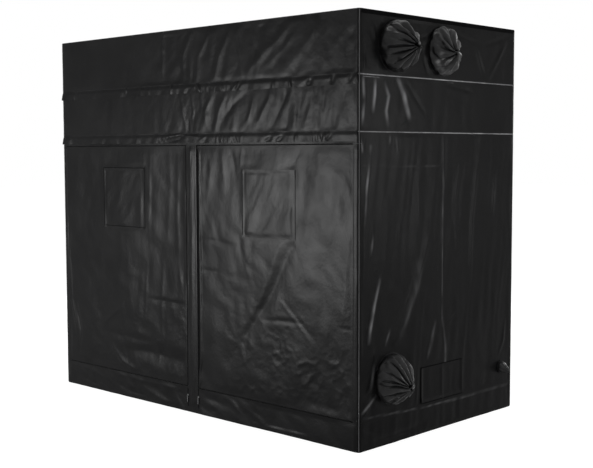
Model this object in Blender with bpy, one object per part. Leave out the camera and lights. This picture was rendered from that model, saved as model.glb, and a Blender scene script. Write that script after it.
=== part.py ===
"""A walk-in indoor grow tent: a steel pole frame inside a zipped cloth shell, with windows, vents and duct ports.

X runs along the long side, the doors face -Y and Z is up. The origin is the middle of the floor, on the ground.
"""

import math

import bmesh
import bpy
from mathutils import Matrix, Vector

# Overall sizes, in metres: 9 ft by 5 ft, with a 12 in extension between the walls and the canopy
TENT_LENGTH = 2.743
TENT_DEPTH = 1.524
WALL_HEIGHT = 1.757
EXTENSION_HEIGHT = 0.308
CANOPY_DROP = 0.348

# Cloth, and the gaps between pieces that touch or turn past each other
CLOTH = 0.0012
STITCH = 0.0002
SEAM_GAP = 0.0003
HINGE_GAP = 0.0006
OVERRUN = 0.010
WELD_DISTANCE = 0.000001

# Steel poles and the sockets that join them
POLE_RADIUS = 0.0125
POLE_WALL = 0.0012
POLE_SIDES = 12
JOINT_GROOVE_WIDTH = 0.0020
JOINT_GROOVE_DEPTH = 0.0004
SOCKET_WALL = 0.0015
SOCKET_LENGTH = 0.070
SOCKET_STOP = 0.018
FRAME_CLEARANCE = 0.0005

# Hanging bars with a hook at each end that drops over a long top rail
HOOK_WALL = 0.0010
HOOK_WIDTH = 0.032
HOOK_WRAP = 0.006
HANGING_BAR_X = 0.680

# Skirt, loose spill tray and the strips round the doors
SKIRT_HEIGHT = 0.165
HEM_HEIGHT = 0.034
TRAY_SHEET = 0.0008
TRAY_HEIGHT = 0.150
TRAY_GAP = 0.004
CORNER_STRIP = 0.045
CENTRE_STRIP_HALF = 0.050
HEAD_DROP = 0.067
CORNER_STEPS = 4

# Storm flaps over the two ring zips
FLAP_RISE = 0.010
FLAP_HEIGHT = 0.062
FLAP_STANDOFF = 0.006
FLAP_WAVE = 0.0045
FLAP_END_INSET = 0.012
FLAP_COLUMN_COUNT = 26
FLAP_ROW_COUNT = 2
FLAP_WAVE_COUNT = 11

# Zips: half the slot between cloth edges, the tape behind them, and the coil on the tape's edge
ZIP_SLOT_HALF = 0.0035
COIL_WIDTH = 0.0020
COIL_PROUD = 0.0008
TAPE_WIDTH = 0.014
TAPE_THICKNESS = 0.0008

# Zip sliders and their pulls
SLIDER_LENGTH = 0.026
SLIDER_WIDTH = 0.012
SLIDER_PLATE = 0.0014
SLIDER_WEB = 0.0006
SLIDER_PARK_Z = 0.100
BRIDGE_BAR = 0.0015
BRIDGE_HEIGHT = 0.0038
BRIDGE_SPAN = 0.011
PULL_LENGTH = 0.036
PULL_WIDTH = 0.0070
PULL_THICKNESS = 0.0012
PULL_EYE_RADIUS = 0.0026
PULL_EYE_BORE = 0.0015
PULL_EYE_SIDES = 10

# Windows in the doors
WINDOW_CENTRE_X = 0.680
WINDOW_DROP = 0.145
WINDOW_FLAP_WIDTH = 0.430
WINDOW_FLAP_HEIGHT = 0.402
WINDOW_BORDER = 0.024
WINDOW_FILM = 0.0005
WINDOW_FILM_LAP = 0.012
HOOK_STRIP = 0.0010

# Folds in the hanging doors
DOOR_FOLD_HEIGHT = 0.009
DOOR_FOLD_WIDTH = 0.055
DOOR_EDGE_FADE = 0.030
DOOR_EDGE_MARGIN = 0.018
DOOR_COLUMN_COUNTS = (1, 6, 1, 3, 1, 6, 1)
DOOR_ROW_COUNTS = (1, 10, 1, 3, 1, 2, 1)

# A door's main folds as shares of its width and height from its lower inner corner, and a height share
DOOR_FOLD_SHARES = (
    (0.66, 0.50, 0.12, 0.04, 1.00),
    (0.30, 0.52, 0.22, 0.06, -0.70),
    (0.08, 0.96, 0.11, 0.40, 0.60),
    (0.94, 0.90, 0.86, 0.30, -0.60),
    (0.84, 0.34, 0.40, 0.10, -0.80),
    (0.20, 0.36, 0.92, 0.30, 0.55),
    (0.95, 0.22, 0.60, 0.03, 0.70),
)

# Mesh vents with their cover flaps
VENT_WIDTH = 0.410
VENT_HEIGHT = 0.210
VENT_CENTRE_Z = 0.285
VENT_BORDER = 0.022
VENT_MESH = 0.0006
VENT_MESH_LAP = 0.010

# Duct and cable ports with their gathered socks
PORT_RADIUS = 0.127
COLLAR_WIDTH = 0.023
COLLAR_THICKNESS = 0.0015
SOCK_RIM = 0.013
SOCK_REACH = 0.135
SOCK_DROOP = 0.018
UPPER_PORT_DROP = 0.183
UPPER_PORT_INSET = 0.307
UPPER_PORT_MIDDLE_Y = -0.010
LOWER_PORT_Z = 0.372
LOWER_PORT_INSET = 0.280
CABLE_PORT_RADIUS = 0.030
CABLE_COLLAR_WIDTH = 0.012
CABLE_SOCK_RIM = 0.006
CABLE_SOCK_REACH = 0.060
CABLE_SOCK_DROOP = 0.014
CABLE_PORT_Z = 0.276
CABLE_PORT_INSET = 0.126
SOCK_PLEATS = 12
CABLE_SOCK_PLEATS = 6

# A gathered sock from rim to frill: share of its reach, share of its radius, share that its pleats rise
SOCK_SHARES = (
    (0.00, 1.00, 0.00),
    (0.22, 0.98, 0.04),
    (0.50, 0.80, 0.10),
    (0.76, 0.50, 0.17),
    (0.93, 0.20, 0.24),
    (1.10, 0.24, 0.32),
)
SOCK_LINING_SHARES = (
    (0.00, 1.00, 0.00),
    (0.50, 0.72, 0.00),
    (0.86, 0.20, 0.00),
)

# Sizes that follow from those above
TENT_HEIGHT = WALL_HEIGHT + EXTENSION_HEIGHT + CANOPY_DROP
UPPER_SEAM_Z = WALL_HEIGHT + EXTENSION_HEIGHT
HALF_LENGTH = TENT_LENGTH / 2
HALF_DEPTH = TENT_DEPTH / 2
POLE_BORE = POLE_RADIUS - POLE_WALL
SOCKET_BORE = POLE_RADIUS + SEAM_GAP
SOCKET_RADIUS = SOCKET_BORE + SOCKET_WALL
FRAME_INSET = CLOTH + FRAME_CLEARANCE + SOCKET_RADIUS
POST_X = HALF_LENGTH - FRAME_INSET
POST_Y = HALF_DEPTH - FRAME_INSET
RAIL_LOW_Z = FRAME_INSET
RAIL_HIGH_Z = TENT_HEIGHT - FRAME_INSET
POLE_SEAT = SOCKET_STOP + SEAM_GAP
HINGE_X = HALF_LENGTH - CORNER_STRIP
HEAD_Z = WALL_HEIGHT - HEAD_DROP
WINDOW_CENTRE_Z = HEAD_Z - WINDOW_DROP - WINDOW_FLAP_HEIGHT / 2
COIL_EDGE = SLIDER_WEB / 2 + SEAM_GAP
SHUT_EDGE = SEAM_GAP / 2
WINDOW_HINGE_Z = WINDOW_CENTRE_Z - WINDOW_FLAP_HEIGHT / 2
VENT_HINGE_Z = VENT_CENTRE_Z + VENT_HEIGHT / 2
UPPER_PORT_Z = TENT_HEIGHT - UPPER_PORT_DROP
UPPER_PORT_FRONT_Y = UPPER_PORT_INSET - HALF_DEPTH
LOWER_PORT_Y = LOWER_PORT_INSET - HALF_DEPTH
CABLE_PORT_Y = HALF_DEPTH - CABLE_PORT_INSET


def make_material(name, colour, roughness, metallic=0.0, alpha=1.0):
    """A Principled material of one colour."""
    material = bpy.data.materials.new(name)
    material.use_nodes = True
    shader = material.node_tree.nodes["Principled BSDF"]
    shader.inputs["Base Color"].default_value = (*colour, 1.0)
    shader.inputs["Roughness"].default_value = roughness
    shader.inputs["Metallic"].default_value = metallic
    shader.inputs["Alpha"].default_value = alpha
    return material


def block(low, high):
    """A box between two opposite corners."""
    shape = bmesh.new()
    bmesh.ops.create_cube(shape, size=1.0)
    size = Vector(high) - Vector(low)
    place = Matrix.Translation((Vector(high) + Vector(low)) / 2) @ Matrix.Diagonal((*size, 1.0))
    bmesh.ops.transform(shape, matrix=place, verts=shape.verts)
    return shape


def prism(outline, along):
    """A flat outline of points in space, extruded by a vector."""
    shape = bmesh.new()
    face = shape.faces.new([shape.verts.new(point) for point in outline])
    grown = bmesh.ops.extrude_face_region(shape, geom=[face])
    moved = [item for item in grown["geom"] if isinstance(item, bmesh.types.BMVert)]
    bmesh.ops.translate(shape, vec=Vector(along), verts=moved)
    bmesh.ops.recalc_face_normals(shape, faces=shape.faces)
    return shape


def skin(rings, close_profile=False):
    """Faces between closed rings of points, with the last ring joined to the first or both ends capped."""
    shape = bmesh.new()
    loops = [[shape.verts.new(point) for point in ring] for ring in rings]
    following = loops[1:] + loops[:1] if close_profile else loops[1:]
    for one, two in zip(loops, following):
        for k, corner in enumerate(one):
            n = (k + 1) % len(one)
            shape.faces.new((corner, one[n], two[n], two[k]))
    if not close_profile:
        shape.faces.new(loops[0])
        shape.faces.new(loops[-1])
    bmesh.ops.recalc_face_normals(shape, faces=shape.faces)
    return shape


def facet_ring(radius, height, sides):
    """A ring of points whose flats, not corners, face the axes."""
    step = 2 * math.pi / sides
    turns = [(k + 0.5) * step for k in range(sides)]
    return [(radius * math.cos(turn), radius * math.sin(turn), height) for turn in turns]


def placed(shape, start, direction):
    """Moves a shape built along +Z so that it starts at a point and runs along an axis."""
    turn = Vector((0, 0, 1)).rotation_difference(Vector(direction)).to_matrix().to_4x4()
    bmesh.ops.transform(shape, matrix=Matrix.Translation(start) @ turn, verts=shape.verts)
    return shape


def rod(start, direction, length, radius, sides=POLE_SIDES):
    """A solid round bar."""
    return placed(skin([facet_ring(radius, 0, sides), facet_ring(radius, length, sides)]), start, direction)


def tube(start, direction, outside):
    """A pole from its outer profile of (radius, distance), hollow from end to end."""
    ends = [(POLE_BORE, outside[-1][1]), (POLE_BORE, outside[0][1])]
    rings = [facet_ring(radius, height, POLE_SIDES) for radius, height in outside + ends]
    return placed(skin(rings, close_profile=True), start, direction)


def boolean(target, tool, operation, solver):
    """Joins or cuts two closed shapes."""
    helpers = []
    for shape in (target, tool):
        mesh = bpy.data.meshes.new("helper")
        shape.to_mesh(mesh)
        shape.free()
        helper = bpy.data.objects.new("helper", mesh)
        bpy.context.scene.collection.objects.link(helper)
        helpers.append(helper)
    modifier = helpers[0].modifiers.new("boolean", "BOOLEAN")
    modifier.operation = operation
    modifier.solver = solver
    modifier.object = helpers[1]
    evaluated = helpers[0].evaluated_get(bpy.context.evaluated_depsgraph_get())
    result = bmesh.new()
    result.from_mesh(evaluated.to_mesh())
    evaluated.to_mesh_clear()
    for helper in helpers:
        mesh = helper.data
        bpy.data.objects.remove(helper)
        bpy.data.meshes.remove(mesh)
    bmesh.ops.remove_doubles(result, verts=result.verts, dist=WELD_DISTANCE)
    return result


def cut(target, *tools, solver="EXACT"):
    """Takes each tool's shape out of the target."""
    for tool in tools:
        target = boolean(target, tool, "DIFFERENCE", solver)
    return target


def merged(target, *others, solver="EXACT"):
    """One solid from overlapping ones."""
    for other in others:
        target = boolean(target, other, "UNION", solver)
    return target


def mirrored(shape):
    """The shape on the other side of the tent's middle plane."""
    bmesh.ops.transform(shape, matrix=Matrix.Diagonal((-1, 1, 1, 1)), verts=shape.verts)
    bmesh.ops.reverse_faces(shape, faces=shape.faces)
    return shape


def on_side(shape, side):
    """A shape made for the right-hand side, mirrored if it belongs to the left."""
    return mirrored(shape) if side == "left" else shape


def side_sign(side):
    """Which way the side lies along X."""
    return -1 if side == "left" else 1


def put(name, shape, material, origin=(0, 0, 0), parent=None):
    """Adds a shape to the scene under its name, with its origin where it turns or slides."""
    mesh = bpy.data.meshes.new(name)
    bmesh.ops.translate(shape, vec=-Vector(origin), verts=shape.verts)
    shape.to_mesh(mesh)
    shape.free()
    mesh.materials.append(material)
    mesh.shade_smooth()
    mesh.set_sharp_from_angle(angle=math.radians(32))
    item = bpy.data.objects.new(name, mesh)
    item.location = origin
    bpy.context.scene.collection.objects.link(item)
    if parent is not None:
        item.parent = parent
        item.location = Vector(origin) - parent.location
    return item


def pole_outline(length, joints=()):
    """A pole's outside, with a fine groove where one length plugs into the next."""
    outline = [(POLE_RADIUS, 0)]
    root = POLE_RADIUS - JOINT_GROOVE_DEPTH
    reach = JOINT_GROOVE_WIDTH / 2
    for joint in joints:
        outline += [(POLE_RADIUS, joint - reach), (root, joint), (POLE_RADIUS, joint + reach)]
    return outline + [(POLE_RADIUS, length)]


def build_posts(steel):
    """Six posts, each of two poles with the short extension pole plugged in on top."""
    foot = RAIL_LOW_Z + POLE_SEAT
    length = RAIL_HIGH_Z - POLE_SEAT - foot
    top_joint = length - EXTENSION_HEIGHT
    outline = pole_outline(length, (top_joint / 2, top_joint))
    for row, y in (("front", -POST_Y), ("rear", POST_Y)):
        for column, x in (("left", -POST_X), ("middle", 0.0), ("right", POST_X)):
            put("_".join((column, row, "post")), tube((x, y, foot), (0, 0, 1), outline), steel)


def sockets(centre, arms):
    """The outsides and bores of open sockets. Upright ones run past the point where they meet, so it is round."""
    outsides = []
    bores = []
    for arm in arms:
        back = SOCKET_RADIUS * abs(arm[2])
        outsides.append(rod(Vector(centre) - Vector(arm) * back, arm, back + SOCKET_LENGTH, SOCKET_RADIUS))
        bores.append(rod(centre, arm, SOCKET_LENGTH + OVERRUN, POLE_BORE))
        step = Vector(centre) + Vector(arm) * SOCKET_STOP
        bores.append(rod(step, arm, SOCKET_LENGTH, SOCKET_BORE))
    return outsides, bores


def end_frame(x, height, up):
    """A cross rail fixed in its two corner connectors, each with open sockets for a long rail and a post."""
    inward = -1 if x > 0 else 1
    solids = [rod((x, -POST_Y, height), (0, 1, 0), 2 * POST_Y, POLE_RADIUS)]
    bores = [rod((x, -POST_Y, height), (0, 1, 0), 2 * POST_Y, POLE_BORE)]
    for way in (-1, 1):
        centre = (x, way * POST_Y, height)
        outsides, inner = sockets(centre, [(inward, 0, 0), (0, 0, up)])
        grip = rod(centre, (0, -way, 0), SOCKET_LENGTH, SOCKET_RADIUS)
        solids += outsides + [grip]
        bores += inner
    return cut(merged(*solids, solver="MANIFOLD"), *bores, solver="MANIFOLD")


def long_rail(y, height, arms):
    """A long rail in two lengths, fixed in the middle connector, whose other sockets are open."""
    reach = POST_X - POLE_SEAT
    span = 2 * reach
    start = (-reach, y, height)
    grip = rod((-SOCKET_LENGTH, y, height), (1, 0, 0), 2 * SOCKET_LENGTH, SOCKET_RADIUS)
    outsides, bores = sockets((0, y, height), arms)
    rail = merged(rod(start, (1, 0, 0), span, POLE_RADIUS), grip, *outsides, solver="MANIFOLD")
    through = rod((-reach - OVERRUN, y, height), (1, 0, 0), span + 2 * OVERRUN, POLE_BORE)
    return cut(rail, through, *bores, solver="MANIFOLD")


def build_rails(steel):
    """The floor's four sides, the top's four sides, and the top's middle rail."""
    for side in ("left", "right"):
        x = side_sign(side) * POST_X
        put(side + "_floor_rail", end_frame(x, RAIL_LOW_Z, 1), steel)
        put(side + "_top_rail", end_frame(x, RAIL_HIGH_Z, -1), steel)
    for row, y in (("front", -POST_Y), ("rear", POST_Y)):
        inward = (0, 1, 0) if y < 0 else (0, -1, 0)
        put(row + "_floor_rail", long_rail(y, RAIL_LOW_Z, [(0, 0, 1)]), steel)
        put(row + "_top_rail", long_rail(y, RAIL_HIGH_Z, [(0, 0, -1), inward]), steel)
    reach = POST_Y - POLE_SEAT
    put("middle_top_rail", tube((0, -reach, RAIL_HIGH_Z), (0, 1, 0), pole_outline(2 * reach)), steel)


def build_hanging_bars(steel):
    """Two bars for lamps and filters, each with a hook at both ends that drops over the long top rails."""
    for side in ("left", "right"):
        x = side_sign(side) * HANGING_BAR_X
        bar = tube((x, -POST_Y, RAIL_HIGH_Z), (0, 1, 0), pole_outline(2 * POST_Y))
        for y in (-POST_Y, POST_Y):
            outside = SOCKET_BORE + HOOK_WALL
            hook = rod((x - HOOK_WIDTH / 2, y, RAIL_HIGH_Z), (1, 0, 0), HOOK_WIDTH, outside)
            low = (x - HOOK_WIDTH, y - outside - OVERRUN, RAIL_HIGH_Z - outside - OVERRUN)
            high = (x + HOOK_WIDTH, y + outside + OVERRUN, RAIL_HIGH_Z - HOOK_WRAP)
            bar = merged(bar, cut(hook, block(low, high)))
            bar = cut(bar, rod((x - HOOK_WIDTH, y, RAIL_HIGH_Z), (1, 0, 0), 2 * HOOK_WIDTH, SOCKET_BORE))
        put(side + "_hanging_bar", bar, steel)


def corner_arc(x, radius, first):
    """Points round a quarter turn about a front post, from the given angle."""
    turns = [first + k * (math.pi / 2) / CORNER_STEPS for k in range(CORNER_STEPS + 1)]
    return [(x + radius * math.cos(turn), -POST_Y + radius * math.sin(turn)) for turn in turns]


def front_path(depth):
    """The front as seen from above, from the left post's side to the right post's, at a depth in the cloth."""
    radius = FRAME_INSET - depth
    return corner_arc(-POST_X, radius, math.pi) + corner_arc(POST_X, radius, 3 * math.pi / 2)


def rear_path(depth):
    """The rear, as seen from above."""
    return [(x, -y) for x, y in front_path(depth)]


def right_path(depth):
    """The right-hand side, as seen from above."""
    reach = POST_Y - SEAM_GAP
    return [(HALF_LENGTH - depth, -reach), (HALF_LENGTH - depth, reach)]


def plan_outline(depth, height):
    """The whole plan with its rounded corners, at a height."""
    return [(x, y, height) for x, y in front_path(depth) + rear_path(depth)[::-1]]


def zip_edge(line, side, edge):
    """The edge of a panel that carries half a zip, from its outer face to its inner one: (depth, place)."""
    tape = CLOTH + TAPE_THICKNESS
    slot = line + side * ZIP_SLOT_HALF
    coil = line + side * (edge + COIL_WIDTH)
    tip = line + side * edge
    hem = line + side * TAPE_WIDTH
    return [
        (0, slot),
        (CLOTH, slot),
        (CLOTH, coil),
        (CLOTH - COIL_PROUD, coil),
        (CLOTH - COIL_PROUD, tip),
        (tape + COIL_PROUD, tip),
        (tape + COIL_PROUD, coil),
        (tape, coil),
        (tape, hem),
        (CLOTH, hem),
    ]


def plain_edge(place):
    """A cut edge of a panel."""
    return [(0, place), (CLOTH, place)]


def panel(path, low_edge, high_edge):
    """A cloth panel that follows a path in plan, between its lower and upper edges."""
    section = low_edge + high_edge[::-1]
    paths = [path(depth) for depth, _ in section]
    heights = [height for _, height in section]
    rings = []
    for i in range(len(paths[0])):
        rings.append([(*line[i], height) for line, height in zip(paths, heights)])
    return skin(rings)


def side_cutter(y, z, radius, sides):
    """A round cutter through the right-hand face."""
    return rod((HALF_LENGTH - OVERRUN, y, z), (1, 0, 0), 2 * OVERRUN, radius, sides)


def vent_cutter():
    """A cutter for the vent hole in the right-hand face."""
    half = VENT_WIDTH / 2 - VENT_BORDER
    rise = VENT_HEIGHT / 2 - VENT_BORDER
    low = (HALF_LENGTH - OVERRUN, -half, VENT_CENTRE_Z - rise)
    return block(low, (HALF_LENGTH + OVERRUN, half, VENT_CENTRE_Z + rise))


def build_roof_and_floor(canvas):
    """The flat top sheet, and the floor sheet inside the skirt."""
    roof = prism(plan_outline(0, TENT_HEIGHT - CLOTH), (0, 0, CLOTH))
    put("roof_panel", roof, canvas)
    floor = prism(plan_outline(CLOTH + SEAM_GAP, 0), (0, 0, CLOTH))
    put("floor_sheet", floor, canvas)


def build_canopy(canvas):
    """The band under the roof. Each end has two duct ports."""
    low = zip_edge(UPPER_SEAM_Z, 1, SHUT_EDGE)
    high = plain_edge(TENT_HEIGHT - CLOTH - SEAM_GAP)
    put("canopy_front", panel(front_path, low, high), canvas)
    put("canopy_rear", panel(rear_path, low, high), canvas)
    places = (UPPER_PORT_FRONT_Y, UPPER_PORT_MIDDLE_Y)
    holes = [side_cutter(y, UPPER_PORT_Z, PORT_RADIUS, 2 * SOCK_PLEATS) for y in places]
    end = cut(panel(right_path, low, high), *holes)
    put("canopy_left", mirrored(end.copy()), canvas)
    put("canopy_right", end, canvas)


def build_extension(canvas):
    """The plain band that the taller frame needs, zipped in between the canopy and the walls."""
    low = zip_edge(WALL_HEIGHT, 1, SHUT_EDGE)
    high = zip_edge(UPPER_SEAM_Z, -1, SHUT_EDGE)
    put("extension_front", panel(front_path, low, high), canvas)
    put("extension_rear", panel(rear_path, low, high), canvas)
    end = panel(right_path, low, high)
    put("extension_left", mirrored(end.copy()), canvas)
    put("extension_right", end, canvas)


def build_walls(canvas):
    """The rear wall and the two end walls, each of which has a low duct port, a cable port and a vent."""
    low = plain_edge(0)
    high = zip_edge(WALL_HEIGHT, -1, SHUT_EDGE)
    put("rear_wall", panel(rear_path, low, high), canvas)
    port = side_cutter(LOWER_PORT_Y, LOWER_PORT_Z, PORT_RADIUS, 2 * SOCK_PLEATS)
    cable = side_cutter(CABLE_PORT_Y, CABLE_PORT_Z, CABLE_PORT_RADIUS, 2 * CABLE_SOCK_PLEATS)
    end = cut(panel(right_path, low, high), port, cable, vent_cutter())
    put("left_wall", mirrored(end.copy()), canvas)
    put("right_wall", end, canvas)


def zip_sweep(path, side):
    """Half a door zip along a path in the front face, with its tape to the left or right of the path."""
    tape = CLOTH + TAPE_THICKNESS
    coil = COIL_EDGE + COIL_WIDTH
    section = [
        (COIL_EDGE, CLOTH - COIL_PROUD),
        (coil, CLOTH - COIL_PROUD),
        (coil, CLOTH - STITCH),
        (TAPE_WIDTH, CLOTH - STITCH),
        (TAPE_WIDTH, tape),
        (coil, tape),
        (coil, tape + COIL_PROUD),
        (COIL_EDGE, tape + COIL_PROUD),
    ]
    ways = [(Vector(two) - Vector(one)).normalized() for one, two in zip(path, path[1:])]
    rings = []
    for i, point in enumerate(path):
        one = ways[max(i - 1, 0)]
        two = ways[min(i, len(ways) - 1)]
        across = (Vector((-one.y, one.x)) + Vector((-two.y, two.x))).normalized() * side
        across /= abs(across.dot(Vector((-one.y, one.x))))
        line = [(Vector(point) + across * width, depth) for width, depth in section]
        rings.append([(spot.x, -HALF_DEPTH + depth, spot.y) for spot, depth in line])
    return skin(rings)


def build_door_surround(canvas):
    """The header, the centre strip, the front skirt and the strips round the front corners."""
    head_edge = HEAD_Z + ZIP_SLOT_HALF
    sill_edge = SKIRT_HEIGHT - ZIP_SLOT_HALF
    zip_end = HINGE_X - HINGE_GAP / 2
    header = panel(front_path, plain_edge(head_edge), zip_edge(WALL_HEIGHT, -1, SHUT_EDGE))
    head_zip = zip_sweep([(CENTRE_STRIP_HALF, HEAD_Z), (zip_end, HEAD_Z)], 1)
    put("header_strip", merged(header, head_zip.copy(), mirrored(head_zip)), canvas)

    foot = HEM_HEIGHT + SEAM_GAP
    left = zip_edge(-CENTRE_STRIP_HALF, 1, COIL_EDGE)
    right = zip_edge(CENTRE_STRIP_HALF, -1, COIL_EDGE)
    outline = [(x, -HALF_DEPTH + depth, foot) for depth, x in left + right[::-1]]
    put("centre_strip", prism(outline, (0, 0, head_edge - SEAM_GAP - foot)), canvas)

    skirt = panel(front_path, plain_edge(0), plain_edge(sill_edge))
    notch = CENTRE_STRIP_HALF + ZIP_SLOT_HALF
    low = (-notch, -HALF_DEPTH - OVERRUN, HEM_HEIGHT)
    skirt = cut(skirt, block(low, (notch, -HALF_DEPTH + OVERRUN, SKIRT_HEIGHT)))
    corner = (CENTRE_STRIP_HALF, SKIRT_HEIGHT)
    skirt_zip = zip_sweep([(CENTRE_STRIP_HALF, HEM_HEIGHT), corner, (zip_end, SKIRT_HEIGHT)], -1)
    put("front_skirt", merged(skirt, skirt_zip.copy(), mirrored(skirt_zip)), canvas)

    edge = HINGE_X + HINGE_GAP / 2
    turn = 3 * math.pi / 2
    outer = [(edge, -HALF_DEPTH)] + corner_arc(POST_X, FRAME_INSET, turn)
    inner = [(edge, -HALF_DEPTH + CLOTH)] + corner_arc(POST_X, FRAME_INSET - CLOTH, turn)
    low_z = sill_edge + SEAM_GAP
    outline = [(x, y, low_z) for x, y in outer + inner[::-1]]
    strip = prism(outline, (0, 0, head_edge - SEAM_GAP - low_z))
    put("left_corner_strip", mirrored(strip.copy()), canvas)
    put("right_corner_strip", strip, canvas)


def build_spill_tray(sheet):
    """A loose waterproof tray that lies inside the floor rails."""
    x = POST_X - SOCKET_RADIUS - TRAY_GAP
    y = POST_Y - SOCKET_RADIUS - TRAY_GAP
    foot = CLOTH + SEAM_GAP
    tray = block((-x, -y, foot), (x, y, foot + TRAY_HEIGHT))
    inner = (-x + TRAY_SHEET, -y + TRAY_SHEET, foot + TRAY_SHEET)
    hollow = block(inner, (x - TRAY_SHEET, y - TRAY_SHEET, foot + TRAY_HEIGHT + OVERRUN))
    put("spill_tray", cut(tray, hollow), sheet)


def spread(low, high, count):
    """Evenly spaced places from low to high."""
    return [low + (high - low) * k / count for k in range(count + 1)]


def front_sheet(columns, rows, standoff, hole=()):
    """A sheet of cloth before the front face, whose back stands off it, with a hole of whole cells.

    Each cell is split along the same diagonal in front and behind, so that a warped cell keeps its thickness.
    """
    shape = bmesh.new()
    corners = {}
    for i, x in enumerate(columns):
        for j, z in enumerate(rows):
            back = -HALF_DEPTH - standoff(x, z)
            corners[i, j] = (shape.verts.new((x, back, z)), shape.verts.new((x, back - CLOTH, z)))
    cells = {(i, j) for i in range(len(columns) - 1) for j in range(len(rows) - 1)} - set(hole)
    for i, j in sorted(cells):
        loop = [corners[i, j], corners[i + 1, j], corners[i + 1, j + 1], corners[i, j + 1]]
        for half in (loop[:3], loop[2:] + loop[:1]):
            shape.faces.new([pair[0] for pair in half])
            shape.faces.new([pair[1] for pair in half[::-1]])
        around = [(i, j - 1), (i + 1, j), (i, j + 1), (i - 1, j)]
        for k, neighbour in enumerate(around):
            if neighbour not in cells:
                one, two = loop[k], loop[(k + 1) % 4]
                shape.faces.new((one[0], one[1], two[1], two[0]))
    loose = [vertex for vertex in shape.verts if not vertex.link_faces]
    bmesh.ops.delete(shape, geom=loose, context="VERTS")
    bmesh.ops.recalc_face_normals(shape, faces=shape.faces)
    return shape


def build_storm_flap(name, seam, canvas):
    """A strip sewn on above a ring zip, which hangs over it in shallow waves."""
    half = HALF_LENGTH - FLAP_END_INSET
    top = seam + FLAP_RISE

    def standoff(x, z):
        down = (top - z) / FLAP_HEIGHT
        turn = (x + half) / (2 * half) * 2 * math.pi * FLAP_WAVE_COUNT
        wave = max(0.0, math.sin(turn) + math.sin(turn * 0.37 + 1) / 2)
        return SEAM_GAP + down * (FLAP_STANDOFF + FLAP_WAVE * wave)

    columns = spread(-half, half, FLAP_COLUMN_COUNT)
    rows = spread(top - FLAP_HEIGHT, top, FLAP_ROW_COUNT)
    put(name, front_sheet(columns, rows, standoff), canvas)


def smooth_step(distance, start, fade):
    """Rises from 0 to 1 over a distance."""
    share = min(1.0, max(0.0, (distance - start) / fade))
    return share * share * (3 - 2 * share)


def door_limits():
    """The door's cloth edges: inner, outer, lower and upper."""
    inner = CENTRE_STRIP_HALF + ZIP_SLOT_HALF
    return inner, HINGE_X - HINGE_GAP / 2, SKIRT_HEIGHT + ZIP_SLOT_HALF, HEAD_Z - ZIP_SLOT_HALF


def fold_relief(x, z):
    """How far a hanging door's folds stand out. They die away at its edges and round its window."""
    inner, outer, low, high = door_limits()
    height = 0.0
    for from_x, from_z, to_x, to_z, rise in DOOR_FOLD_SHARES:
        one = Vector((inner + from_x * (outer - inner), low + from_z * (high - low)))
        two = Vector((inner + to_x * (outer - inner), low + to_z * (high - low)))
        along = (two - one).normalized()
        place = min(max((Vector((x, z)) - one).dot(along), 0.0), (two - one).length)
        away = (Vector((x, z)) - one - along * place).length
        height += rise * math.exp(-((away / DOOR_FOLD_WIDTH) ** 2))
    edge = min(x - inner, outer - x, z - low, high - z)
    beside = abs(x - WINDOW_CENTRE_X) - WINDOW_FLAP_WIDTH / 2
    above = abs(z - WINDOW_CENTRE_Z) - WINDOW_FLAP_HEIGHT / 2
    fade = smooth_step(edge, DOOR_EDGE_MARGIN, DOOR_EDGE_FADE)
    fade *= smooth_step(max(beside, above), DOOR_EDGE_MARGIN, DOOR_EDGE_FADE)
    return DOOR_FOLD_HEIGHT * height * fade


def door_stops(inner, outer, centre, flap, counts):
    """A door's grid lines one way: none crosses the sewn-on strips, so that the cloth is flat under them."""
    hole = flap / 2 - WINDOW_BORDER
    clear = flap / 2 + DOOR_EDGE_MARGIN
    stops = [
        inner,
        inner + DOOR_EDGE_MARGIN,
        centre - clear,
        centre - hole,
        centre + hole,
        centre + clear,
        outer - DOOR_EDGE_MARGIN,
        outer,
    ]
    lines = [inner]
    for one, two, count in zip(stops, stops[1:], counts):
        lines += spread(one, two, count)[1:]
    return lines


def door_sheet():
    """The right-hand door's cloth, with its window hole."""
    inner, outer, low, high = door_limits()
    columns = door_stops(inner, outer, WINDOW_CENTRE_X, WINDOW_FLAP_WIDTH, DOOR_COLUMN_COUNTS)
    rows = door_stops(low, high, WINDOW_CENTRE_Z, WINDOW_FLAP_HEIGHT, DOOR_ROW_COUNTS)
    across = range(sum(DOOR_COLUMN_COUNTS[:3]), sum(DOOR_COLUMN_COUNTS[:4]))
    up = range(sum(DOOR_ROW_COUNTS[:3]), sum(DOOR_ROW_COUNTS[:4]))
    hole = [(i, j) for i in across for j in up]
    return front_sheet(columns, rows, lambda x, z: fold_relief(x, z) - CLOTH, hole)


def hook_strips():
    """Hook strips sewn on up both sides of the window hole and across its top."""
    half = WINDOW_FLAP_WIDTH / 2
    rise = WINDOW_FLAP_HEIGHT / 2
    strip = WINDOW_BORDER - STITCH
    front = -HALF_DEPTH - HOOK_STRIP
    back = -HALF_DEPTH + STITCH
    left = WINDOW_CENTRE_X - half
    right = WINDOW_CENTRE_X + half
    foot = WINDOW_CENTRE_Z - rise
    top = WINDOW_CENTRE_Z + rise
    near = block((left, front, foot), (left + strip, back, top))
    far = block((right - strip, front, foot), (right, back, top))
    return merged(near, far, block((left + strip / 2, front, top - strip), (right - strip / 2, back, top)))


def window_film():
    """Clear film sewn behind the hole."""
    half = WINDOW_FLAP_WIDTH / 2 - WINDOW_BORDER + WINDOW_FILM_LAP
    rise = WINDOW_FLAP_HEIGHT / 2 - WINDOW_BORDER + WINDOW_FILM_LAP
    face = -HALF_DEPTH + CLOTH + SEAM_GAP
    low = (WINDOW_CENTRE_X - half, face, WINDOW_CENTRE_Z - rise)
    return block(low, (WINDOW_CENTRE_X + half, face + WINDOW_FILM, WINDOW_CENTRE_Z + rise))


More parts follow.
